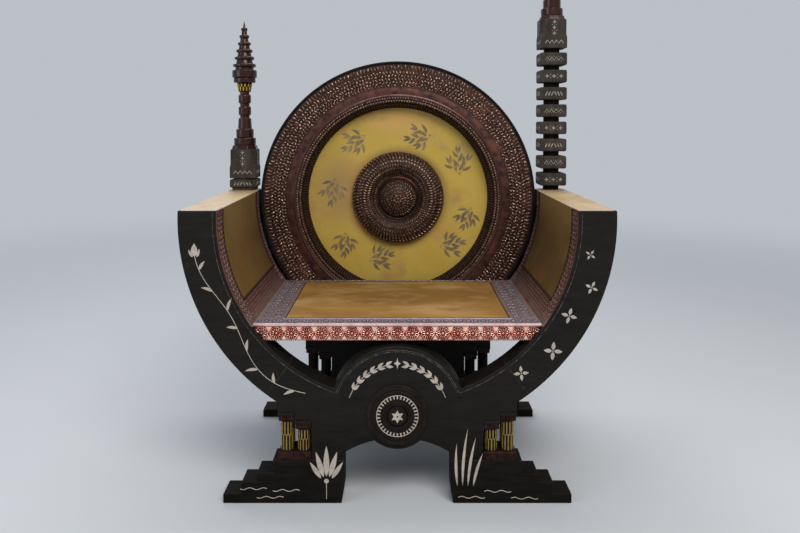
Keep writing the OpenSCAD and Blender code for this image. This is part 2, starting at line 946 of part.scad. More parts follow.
module at_right_post(z) {
    translate([post_x, frame_y, z]) children();
}

// Neck and plate below the left block, with a spigot up into the block
module left_plate() {
    color([0.16, 0.15, 0.14]) difference() {
        at_left_post(arm_z) union() {
            translate([-0.42 * post_w, -0.42 * post_w, 0]) cube([0.84 * post_w, 0.84 * post_w, left_neck_h]);
            translate([0, 0, left_neck_h]) bevel_plate(post_w, left_plate_h, plate_bevel);
            cylinder(d = 0.8 * post_w, h = left_neck_h + left_plate_h + left_notch_h);
            cylinder(d = spigot_d, h = left_neck_h + left_plate_h + left_notch_h + spigot_l);
        }
        sided(-1) post_dowel(dowel_d + 2 * fit, dowel_l + 2);
    }
}

module left_block() {
    color([0.16, 0.15, 0.14]) at_left_post(left_block_z) post_block();
}

// Rod that carries the right plates, with a spigot up into the block
module right_rod() {
    color([0.12, 0.09, 0.08]) difference() {
        at_right_post(arm_z) union() {
            cylinder(d = rod_d, h = right_block_z - arm_z);
            cylinder(d = spigot_d, h = right_block_z - arm_z + spigot_l);
        }
        post_dowel(dowel_d + 2 * fit, dowel_l + 2);
    }
}

module right_plates() {
    color([0.16, 0.15, 0.14]) for (i = [0 : plate_count - 1])
        at_right_post(arm_z + right_neck_h + i * plate_pitch) difference() {
            bevel_plate(post_w, plate_h, plate_bevel);
            translate([0, 0, -1]) cylinder(d = rod_d + 2 * fit, h = plate_h + 2);
        }
}

module right_block() {
    color([0.16, 0.15, 0.14]) at_right_post(right_block_z) post_block();
}

// Both finials stand on their blocks
module at_finials(z) {
    at_left_post(left_block_z + block_h + z) children();
    at_right_post(right_block_z + block_h + z) children();
}

// A turned ring with softened edges
module turned_ring(z, h, r, e) {
    translate([0, 0, z]) rotate_extrude()
        polygon([[0, 0], [r - e, 0], [r, e], [r, h - e], [r - e, h], [0, h]]);
}

// A turned barrel bead: straight sides between two rounded shoulders
module turned_bead(z, h, r, r_end) {
    e = 0.22 * h;
    low = [for (i = [0 : 4]) [r_end + (r - r_end) * sin(22.5 * i), e * (1 - cos(22.5 * i))]];
    high = [for (i = [0 : 4]) [low[4 - i][0], h - low[4 - i][1]]];
    translate([0, 0, z]) rotate_extrude() polygon(concat([[0, 0]], low, high, [[0, h]]));
}

// An eight-sided shoulder that narrows upward, sized across its flats
module shoulder(r0, r1, h) {
    p = [[-r0, 0], [r0, 0], [r1, h], [-r1, h]];
    intersection() {
        plate_xz(2 * r0) polygon(p);
        rotate(45) plate_xz(2 * r0) polygon(p);
        rotate(90) plate_xz(2 * r0) polygon(p);
        rotate(135) plate_xz(2 * r0) polygon(p);
    }
}

// Stem of a finial, with spigots at both ends
module finial_stem() {
    z1 = shoulder_h;
    z2 = z1 + ring1_h;
    z3 = z2 + ring2_h;
    z4 = z3 + cone_h;
    z5 = z4 + neck_h;
    z6 = z5 + bead_h + neck_h;
    shoulder(0.49 * post_w, ring1_r + 0.5, shoulder_h);
    turned_ring(z1, ring1_h, ring1_r, 2);
    turned_ring(z2, ring2_h, ring2_r, 2);
    translate([0, 0, z3]) cylinder(r1 = cone_r, r2 = cone_r - 2, h = cone_h);
    translate([0, 0, z4]) cylinder(r = neck_r, h = collar_z - z4);
    turned_bead(z5, bead_h, bead_r, neck_r + 1);
    turned_bead(z6, bead_h, bead_r, neck_r + 1);
    translate([0, 0, -spigot_l]) cylinder(d = spigot_d, h = spigot_l + 1);
    translate([0, 0, collar_z - 1]) cylinder(r = stem_shaft_r, h = collar_h + spigot_l + 1);
}

module finial_stems() {
    color([0.2, 0.08, 0.06]) at_finials(0) finial_stem();
}

// Flared collar that slips over the stem
module finial_collars() {
    color([0.45, 0.36, 0.14]) at_finials(collar_z) difference() {
        cylinder(r1 = 0.82 * collar_r, r2 = collar_r, h = collar_h);
        translate([0, 0, -1]) cylinder(r = stem_shaft_r + fit, h = collar_h + 2);
    }
}

// Neck below a crown ring of radius r
module crown_neck(z, r) {
    translate([0, 0, z]) cylinder(r1 = 0.88 * r, r2 = 0.78 * r, h = crown_pitch - crown_ring_h);
}

// Crown of a finial: cup, drum, rings that grow smaller, and a tip
module finial_crown() {
    difference() {
        union() {
            turned_ring(0, cup_h, cup_r, 2);
            turned_ring(cup_h, drum_h, drum_r, 2);
            translate([0, 0, cup_h + drum_h]) cylinder(r = 0.8 * crown_r, h = neck_h);
            for (i = [0 : crown_rings - 1]) {
                z = crown_ring_z + i * crown_pitch;
                r = crown_r - i * crown_step;
                turned_ring(z, crown_ring_h, r, 2.5);
                if (i < crown_rings - 1) crown_neck(z + crown_ring_h, r - crown_step);
            }
            translate([0, 0, crown_h]) cylinder(r1 = 4, r2 = 0.6, h = tip_h);
        }
        translate([0, 0, -1]) cylinder(r = stem_shaft_r + fit, h = spigot_l + 2);
    }
}

module finial_crowns() {
    color([0.2, 0.08, 0.06]) at_finials(crown_z) finial_crown();
}

// Dowels in the frames, the arm boards and under the posts
module dowels() {
    color([0.6, 0.47, 0.3]) for (s = [-1, 1]) sided(s) {
        for (f = [-1, 1]) translate([0, f * frame_y, 0]) {
            bow_dowels(dowel_d, dowel_l);
            foot_dowels(dowel_d, dowel_l);
        }
        arm_dowels(arm_dowel_d, arm_dowel_l);
        post_dowel(dowel_d, dowel_l);
    }
}

module wood_screws() {
    color([0.6, 0.5, 0.3]) union() {
        seat_screws(0);
        rail_screws(0);
    }
}

front_bow_left();
front_bow_right();
front_yoke();
front_foot_left();
front_foot_right();
rear_bow_left();
rear_bow_right();
rear_yoke();
rear_foot_left();
rear_foot_right();
front_bases();
front_shafts();
front_capitals();
front_abaci();
rear_bases();
rear_shafts();
rear_capitals();
rear_abaci();
front_medallion();
front_tick_ring();
front_star();
rear_medallion();
rear_tick_ring();
rear_star();
hub_stretcher();
arm_inner_left();
arm_inner_right();
arm_outer_left();
arm_outer_right();
arm_soles();
arm_cap_left();
arm_cap_right();
arm_border_left();
arm_border_right();
arm_panel_left();
arm_panel_right();
seat_board();
seat_border();
seat_panel();
seat_apron();
seat_battens();
back_board();
back_rim();
back_copper();
back_bead();
back_throat();
back_parchment();
back_boss();
back_dome();
back_rails();
left_plate();
left_block();
right_rod();
right_plates();
right_block();
finial_stems();
finial_collars();
finial_crowns();
dowels();
wood_screws();
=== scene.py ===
import bmesh
import bpy
import json
import math
from mathutils import Matrix, Vector

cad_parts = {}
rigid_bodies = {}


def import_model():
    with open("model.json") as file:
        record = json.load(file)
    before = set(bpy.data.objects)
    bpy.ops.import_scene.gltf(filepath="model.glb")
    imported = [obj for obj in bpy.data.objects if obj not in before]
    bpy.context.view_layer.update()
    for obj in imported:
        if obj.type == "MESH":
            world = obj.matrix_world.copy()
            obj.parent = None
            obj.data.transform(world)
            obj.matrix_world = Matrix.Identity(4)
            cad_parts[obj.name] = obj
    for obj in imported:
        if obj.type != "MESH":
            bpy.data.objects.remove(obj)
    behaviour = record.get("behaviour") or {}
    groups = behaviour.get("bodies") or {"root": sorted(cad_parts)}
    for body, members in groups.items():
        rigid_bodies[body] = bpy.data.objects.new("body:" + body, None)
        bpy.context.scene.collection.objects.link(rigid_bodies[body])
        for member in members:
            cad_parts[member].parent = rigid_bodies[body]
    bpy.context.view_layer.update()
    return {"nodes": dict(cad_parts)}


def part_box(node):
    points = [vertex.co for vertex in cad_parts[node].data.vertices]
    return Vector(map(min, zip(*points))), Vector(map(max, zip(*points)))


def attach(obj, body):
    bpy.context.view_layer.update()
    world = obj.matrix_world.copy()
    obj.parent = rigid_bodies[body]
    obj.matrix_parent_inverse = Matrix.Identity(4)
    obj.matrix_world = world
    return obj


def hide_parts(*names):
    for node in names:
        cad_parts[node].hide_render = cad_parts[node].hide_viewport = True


for leftover in list(bpy.data.objects):
    bpy.data.objects.remove(leftover, do_unlink=True)
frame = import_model()

# main places of the throne, in metres and degrees
throne = {
    "bowZ": 0.652, "bowInner": 0.412, "armZ": 0.675, "frontFace": -0.278, "rearFace": 0.278, "jointAngle": 53,
    "hubZ": 0.206, "archR": 0.158, "footTop": 0.0995, "legX": 0.197, "postX": 0.456, "postY": 0.245,
}
bowZ, hubZ = throne["bowZ"], throne["hubZ"]
disc, hub = (0, 0, bowZ), (0, 0, hubZ)  # centres of the round back and the medallions


def pick(obj):
    if bpy.context.mode != "OBJECT":
        bpy.ops.object.mode_set(mode="OBJECT")
    bpy.ops.object.select_all(action="DESELECT")
    obj.select_set(True)
    bpy.context.view_layer.objects.active = obj


def startEdit(obj, kind="EDGE"):
    pick(obj)
    bpy.ops.object.mode_set(mode="EDIT")
    bpy.ops.mesh.select_mode(type=kind)
    bpy.ops.mesh.select_all(action="SELECT")


def endEdit():
    bpy.ops.object.mode_set(mode="OBJECT")


def settle(obj, matrix):
    obj.matrix_world = matrix
    pick(obj)
    bpy.ops.object.transform_apply(location=True, rotation=True, scale=True)
    return obj


def applyMods(obj):
    pick(obj)
    for mod in list(obj.modifiers):
        bpy.ops.object.modifier_apply(modifier=mod.name)
    return obj


def joined(objs):
    pick(objs[0])
    for obj in objs[1:]:
        obj.select_set(True)
    if len(objs) > 1:
        bpy.ops.object.join()
    return bpy.context.active_object


def placed(name, data):
    obj = bpy.data.objects.new(name, data)
    bpy.context.scene.collection.objects.link(obj)
    return obj


def copyOf(obj, matrix):
    return settle(placed(obj.name, obj.data.copy()), matrix)


def keepPiece(obj, name, look, nodes=(), angle=35, weighted=False):
    obj.name = name
    obj.data.name = name
    obj.data.materials.clear()
    obj.data.materials.append(finish[look])
    pick(obj)
    bpy.ops.object.shade_smooth_by_angle(angle=math.radians(angle))
    if weighted:
        mod = obj.modifiers.new("evenNormals", "WEIGHTED_NORMAL")
        mod.keep_sharp = True
        applyMods(obj)
    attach(obj, "root")
    if nodes:
        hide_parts(*nodes)


# a merged copy of a CAD node, its corners eased where a width is given
def softCopy(nodeName, look, width=0, segments=2, keep=None, corner=28, shortest=0.0, cuts=()):
    obj = placed(nodeName + "_soft", frame["nodes"][nodeName].data.copy())
    startEdit(obj)
    bpy.ops.mesh.remove_doubles(threshold=0.00001)
    bpy.ops.mesh.dissolve_limited(angle_limit=math.radians(0.3))
    for spot, normal in cuts:
        bpy.ops.mesh.select_all(action="SELECT")
        bpy.ops.mesh.bisect(plane_co=spot, plane_no=normal)
    if width > 0:
        bpy.ops.mesh.select_all(action="DESELECT")
        for edge in bmesh.from_edit_mesh(obj.data).edges:
            if len(edge.link_faces) != 2 or edge.calc_length() < shortest:
                continue
            if edge.calc_face_angle(0) < math.radians(corner):
                continue
            if keep is None or keep((edge.verts[0].co + edge.verts[1].co) / 2):
                edge.select_set(True)
        bmesh.update_edit_mesh(obj.data)
        bpy.ops.mesh.bevel(offset=width, segments=segments, affect="EDGES", clamp_overlap=False)
    endEdit()
    keepPiece(obj, nodeName + "_soft", look, [nodeName], weighted=True)


# a CAD node that shows as it is, in a new finish
def nodeFinish(look, nodeName):
    for holder in frame["nodes"][nodeName].material_slots:
        holder.material = finish[look]


def move(x, y, z):
    return Matrix.Translation((x, y, z))


def spin(angle, axis="Z"):
    return Matrix.Rotation(math.radians(angle), 4, axis)


def turnAbout(angle, spot, axis):
    spot = Vector(spot)
    return Matrix.Translation(spot) @ spin(angle, axis) @ Matrix.Translation(-spot)


# a face that looks to the front, with its own plane at the given Y
def onFront(y, x=0.0, z=0.0):
    return move(x, y, z) @ spin(90, "X")


# a point of a plane at an angle in degrees
def spoke(angle, radius, spot=(0, 0)):
    turn = math.radians(angle)
    return spot[0] + radius * math.cos(turn), spot[1] + radius * math.sin(turn)


# the X and Z of a point of the bows, by its angle below level
def polar(angle, radius):
    turn = math.radians(angle)
    return radius * math.cos(turn), bowZ - radius * math.sin(turn)


# points on a circle that faces the front, angles clockwise from the top
def frontCircle(radius, y, z, first=0.0, last=360.0, count=120):
    turns = [math.radians(first + (last - first) * i / count) for i in range(count + (last - first < 359))]
    return [(radius * math.sin(t), y, z + radius * math.cos(t)) for t in turns]


def repeated(obj, count, **settings):
    mod = obj.modifiers.new("repeat", "ARRAY")
    mod.use_relative_offset = False
    mod.count = count
    for key, value in settings.items():
        setattr(mod, key, value)
    return applyMods(obj)


# copies round an axis, a whole turn unless a step in degrees is given
def ringArray(obj, count, spot, axis="Y", step=None):
    guide = placed("guide", None)
    guide.matrix_world = turnAbout(step or 360 / count, spot, axis)
    bpy.context.view_layer.update()
    repeated(obj, count, use_object_offset=True, offset_object=guide)
    bpy.data.objects.remove(guide)
    return obj


def rowArray(obj, count, step):
    return repeated(obj, count, use_constant_offset=True, constant_offset_displace=step)


# a low dome with a closed base: half sizes along its own X and Y, and its height
def stud(halfX, halfY, height, matrix, sides=6, rings=4):
    base = (0, 0, -0.12)  # a little under the middle of the ball
    bpy.ops.mesh.primitive_uv_sphere_add(segments=sides, ring_count=rings, radius=1)
    obj = bpy.context.active_object
    startEdit(obj, "VERT")
    bpy.ops.mesh.bisect(plane_co=base, plane_no=(0, 0, 1), use_fill=True, clear_inner=True)
    endEdit()
    return settle(obj, matrix @ Matrix.Diagonal((halfX, halfY, height, 1)))


# a block with eased corners, whole sizes
def easedBlock(sizeX, sizeY, sizeZ, ease, matrix):
    bpy.ops.mesh.primitive_cube_add(size=1)
    obj = settle(bpy.context.active_object, Matrix.Diagonal((sizeX, sizeY, sizeZ, 1)))
    startEdit(obj)
    bpy.ops.mesh.bevel(offset=ease, segments=1, affect="EDGES")
    endEdit()
    return settle(obj, matrix)


# turns every face outward, after doubled points within a distance are merged
def sealed(obj, merge=0.0):
    startEdit(obj, "VERT")
    if merge:
        bpy.ops.mesh.remove_doubles(threshold=merge)
    bpy.ops.mesh.normals_make_consistent(inside=False)
    endEdit()
    return obj


# a closed mesh from lines of points, by way of a curve
def curveMesh(lines, closed, **settings):
    curve = bpy.data.curves.new("strip", "CURVE")
    for key, value in settings.items():
        setattr(curve, key, value)
    for points in lines:
        line = curve.splines.new("POLY")
        line.points.add(len(points) - 1)
        for point, place in zip(line.points, points):
            point.co = (*place, 1)
        line.use_cyclic_u = closed
    pick(placed("strip", curve))
    bpy.ops.object.convert(target="MESH")
    return sealed(bpy.context.active_object, merge=0.000001)


# a round strip along points
def wire(points, radius, closed=False, sides=1):
    return curveMesh([points], closed, dimensions="3D", bevel_depth=radius, bevel_resolution=sides,
                     use_fill_caps=not closed)


# flat shapes cut from thin sheet: outlines in the plane, laid on a face by a matrix
def flatInlay(outlines, thick, matrix):
    lines = [[(u, v, 0) for u, v in outline] for outline in outlines]
    return settle(curveMesh(lines, True, dimensions="2D", fill_mode="BOTH", extrude=thick), matrix)


# shapes that may lie over each other, each cut by itself and a hair higher than the last
def laidInlay(outlines, thick, matrix, lift=0.000012, levels=7):
    return joined([flatInlay([outline], thick, matrix @ move(0, 0, lift * (i % levels)))
                   for i, outline in enumerate(outlines)])


def leafOutline(root, angle, length, width, bend=0.0, steps=9):
    right, left = [], []
    for i in range(steps + 1):
        t = i / steps
        half = width / 2 * math.sin(math.pi * t ** 0.8) ** 0.9 if 0 < t < 1 else 0  # widest before the middle
        along = Vector(spoke(angle + bend * t, 1))
        middle = Vector(root) + along * (length * t)
        across = Vector((-along.y, along.x)) * half
        right.append(tuple(middle - across))
        left.append(tuple(middle + across))
    return right + left[-2:0:-1]


def roundOutline(spot, radius, steps=14):
    turns = [2 * math.pi * i / steps for i in range(steps)]
    return [(spot[0] + radius * math.cos(t), spot[1] + radius * math.sin(t)) for t in turns]


def lozenge(spot, halfU, halfV):
    waistU, waistV = halfU * 0.25, halfV * 0.3
    corners = [(halfU, 0), (waistU, waistV), (0, halfV), (-waistU, waistV),
               (-halfU, 0), (-waistU, -waistV), (0, -halfV), (waistU, -waistV)]
    return [(spot[0] + u, spot[1] + v) for u, v in corners]


# shader nodes and groups
def addNode(tree, kind, values=None, **settings):
    made = tree.nodes.new("ShaderNode" + kind)
    for key, value in settings.items():
        setattr(made, key, value)
    for key, value in (values or {}).items():
        made.inputs[key].default_value = value
    return made


def linkAll(tree, *runs):
    for source, output, target, entry in runs:
        tree.links.new(source.outputs[output], target.inputs[entry])


def newGroup(name, inputs, outputs):
    group = bpy.data.node_groups.new(name, "ShaderNodeTree")
    for label, value in inputs.items():
        kind = "NodeSocketFloat" if isinstance(value, float) else "NodeSocketVector"
        group.interface.new_socket(name=label, in_out="INPUT", socket_type=kind).default_value = value
    for label in outputs:
        group.interface.new_socket(name=label, in_out="OUTPUT", socket_type="NodeSocketFloat")
    return group, group.nodes.new("NodeGroupInput"), group.nodes.new("NodeGroupOutput")


# a mask broken up by noise
def brokenUp(group, start, mask, detail, low, high):
    noise = addNode(group, "TexNoise", {"Detail": detail})
    some = addNode(group, "MapRange", {"From Min": low, "From Max": high})
    both = addNode(group, "Math", operation="MULTIPLY")
    linkAll(group, (start, "Place", noise, "Vector"), (start, "Break up", noise, "Scale"),
            (noise, "Fac", some, "Value"), (mask, "Result", both, 0), (some, "Result", both, 1))
    return both


# broken patches
def makeMottle():
    group, start, end = newGroup("mottle", {"Place": (0, 0, 0), "Scale": 12.0, "Low": 0.35, "High": 0.7,
                                            "Stretch": (1, 1, 1)}, ["Mask"])
    shape = addNode(group, "VectorMath", operation="MULTIPLY")
    noise = addNode(group, "TexNoise", {"Detail": 6.0, "Roughness": 0.6})
    level = addNode(group, "MapRange")
    linkAll(group, (start, "Place", shape, 0), (start, "Stretch", shape, 1), (shape, 0, noise, "Vector"),
            (start, "Scale", noise, "Scale"), (noise, "Fac", level, "Value"), (level, "Result", end, "Mask"),
            (start, "Low", level, "From Min"), (start, "High", level, "From Max"))
    return group


# worn corners and dark hollows; on the copper relief the worn colour is also a painted glint
def makeEdges():
    group, start, end = newGroup("edges", {"Place": (0, 0, 0), "Break up": 60.0}, ["Worn and glint", "Hollow"])
    shape = addNode(group, "NewGeometry")
    wornAndGlint = addNode(group, "MapRange", {"From Min": 0.53, "From Max": 0.62})
    hollow = addNode(group, "MapRange", {"From Min": 0.5, "From Max": 0.42})
    both = brokenUp(group, start, wornAndGlint, detail=4.0, low=0.38, high=0.68)
    linkAll(group, (shape, "Pointiness", wornAndGlint, "Value"), (shape, "Pointiness", hollow, "Value"),
            (both, 0, end, "Worn and glint"), (hollow, "Result", end, "Hollow"))
    return group


# rubbed corners of big flat faces
def makeCorners():
    group, start, end = newGroup("corners", {"Place": (0, 0, 0), "Break up": 60.0, "Reach": 0.003},
                                 ["Rubbed"])
    eased = addNode(group, "Bevel", samples=6)
    shape = addNode(group, "NewGeometry")
    match = addNode(group, "VectorMath", operation="DOT_PRODUCT")
    near = addNode(group, "MapRange", {"From Min": 0.985, "From Max": 0.87})
    both = brokenUp(group, start, near, detail=5.0, low=0.36, high=0.66)
    linkAll(group, (start, "Reach", eased, "Radius"), (eased, "Normal", match, 0),
            (shape, "Normal", match, 1), (match, "Value", near, "Value"), (both, 0, end, "Rubbed"))
    return group


# soft change with distance from a point, line or plane
def makeFade():
    group, start, end = newGroup("fade", {"Place": (0, 0, 0), "Centre": (0, 0, 0), "Squash": (1, 1, 1),
                                          "Near": 0.0, "Far": 1.0}, ["Mask"])
    away = addNode(group, "VectorMath", operation="SUBTRACT")
    shape = addNode(group, "VectorMath", operation="MULTIPLY")
    reach = addNode(group, "VectorMath", operation="LENGTH")
    level = addNode(group, "MapRange", interpolation_type="SMOOTHSTEP")
    linkAll(group, (start, "Place", away, 0), (start, "Centre", away, 1), (away, 0, shape, 0),
            (start, "Squash", shape, 1), (shape, 0, reach, 0), (reach, "Value", level, "Value"),
            (start, "Near", level, "From Min"), (start, "Far", level, "From Max"),
            (level, "Result", end, "Mask"))
    return group


mottle, edges, corners, fade = makeMottle(), makeEdges(), makeCorners(), makeFade()
even = (1, 1, 1)
skinLook = {"wearScale": 2.3, "wearSpan": (0.3, 0.7), "fibreScale": 4, "fibreSpan": (0.2, 0.8),
            "fibreDeep": 0.0006}


# a finish: two colours in a stretched mottle, then fades, stains, dark hollows and worn corners, which on the
# copper relief are also painted glints
# fades: colour, centre, squash, near and far distance; stains: colour, scale, low, high and maybe stretch
def makeFinish(name, dark, light, rough, grainScale, metal=0.0, shine=0.5, grain=even, grainSpan=(0.35, 0.68),
               fades=(), stains=(), wornAndGlint=None, hollow=None, rubbed=None, wornAndGlintScale=90.0, bump=0.1,
               bumpScale=None, dull=None):
    mat = bpy.data.materials.new(name)
    mat.use_nodes = True
    tree = mat.node_tree
    tree.nodes.clear()
    end = addNode(tree, "OutputMaterial")
    skin = addNode(tree, "BsdfPrincipled", {"Metallic": metal, "Specular IOR Level": shine})
    place = addNode(tree, "TexCoord")

    def masked(groupTree, values):
        made = addNode(tree, "Group", values, node_tree=groupTree)
        linkAll(tree, (place, "Object", made, "Place"))
        return made.outputs

    def mottled(scale, low, high, stretch=even):
        return masked(mottle, {"Scale": scale, "Low": low, "High": high, "Stretch": stretch})["Mask"]

    def faded(centre, squash, near, far):
        return masked(fade, {"Centre": centre, "Squash": squash, "Near": near, "Far": far})["Mask"]

    def mixed(mask, first, second):
        made = addNode(tree, "Mix", data_type="RGBA")
        tree.links.new(mask, made.inputs[0])
        for socket, value in ((made.inputs[6], first), (made.inputs[7], second)):
            if isinstance(value, tuple):
                socket.default_value = (*value, 1)
            else:
                tree.links.new(value, socket)
        return made.outputs[2]

    def spread(mask, low, high, entry):
        level = addNode(tree, "MapRange", {"To Min": low, "To Max": high})
        tree.links.new(mask, level.inputs["Value"])
        linkAll(tree, (level, "Result", skin, entry))

    colour = mixed(mottled(grainScale, *grainSpan, grain), dark, light)
    for tone, *span in fades:
        colour = mixed(faded(*span), colour, tone)
    for tone, *span in stains:
        colour = mixed(mottled(*span), colour, tone)
    if wornAndGlint or hollow:
        relief = masked(edges, {"Break up": wornAndGlintScale})
        if hollow:
            colour = mixed(relief["Hollow"], colour, hollow)
        if wornAndGlint:
            colour = mixed(relief["Worn and glint"], colour, wornAndGlint)
    if rubbed:
        colour = mixed(masked(corners, {"Break up": wornAndGlintScale})["Rubbed"], colour, rubbed)
    tree.links.new(colour, skin.inputs["Base Color"])
    if dull:  # the lowest shine, then where it holds, as in a fade
        spread(faded(*dull[1:]), shine, dull[0], "Specular IOR Level")
    spread(mottled(grainScale * skinLook["wearScale"], *skinLook["wearSpan"], grain), *rough, "Roughness")
    if bump:
        fibre = mottled(bumpScale or grainScale * skinLook["fibreScale"], *skinLook["fibreSpan"], grain)
        lift = addNode(tree, "Bump", {"Strength": bump, "Distance": skinLook["fibreDeep"]})
        tree.links.new(fibre, lift.inputs["Height"])
        linkAll(tree, (lift, "Normal", skin, "Normal"))
    linkAll(tree, (skin, 0, end, 0))
    return mat


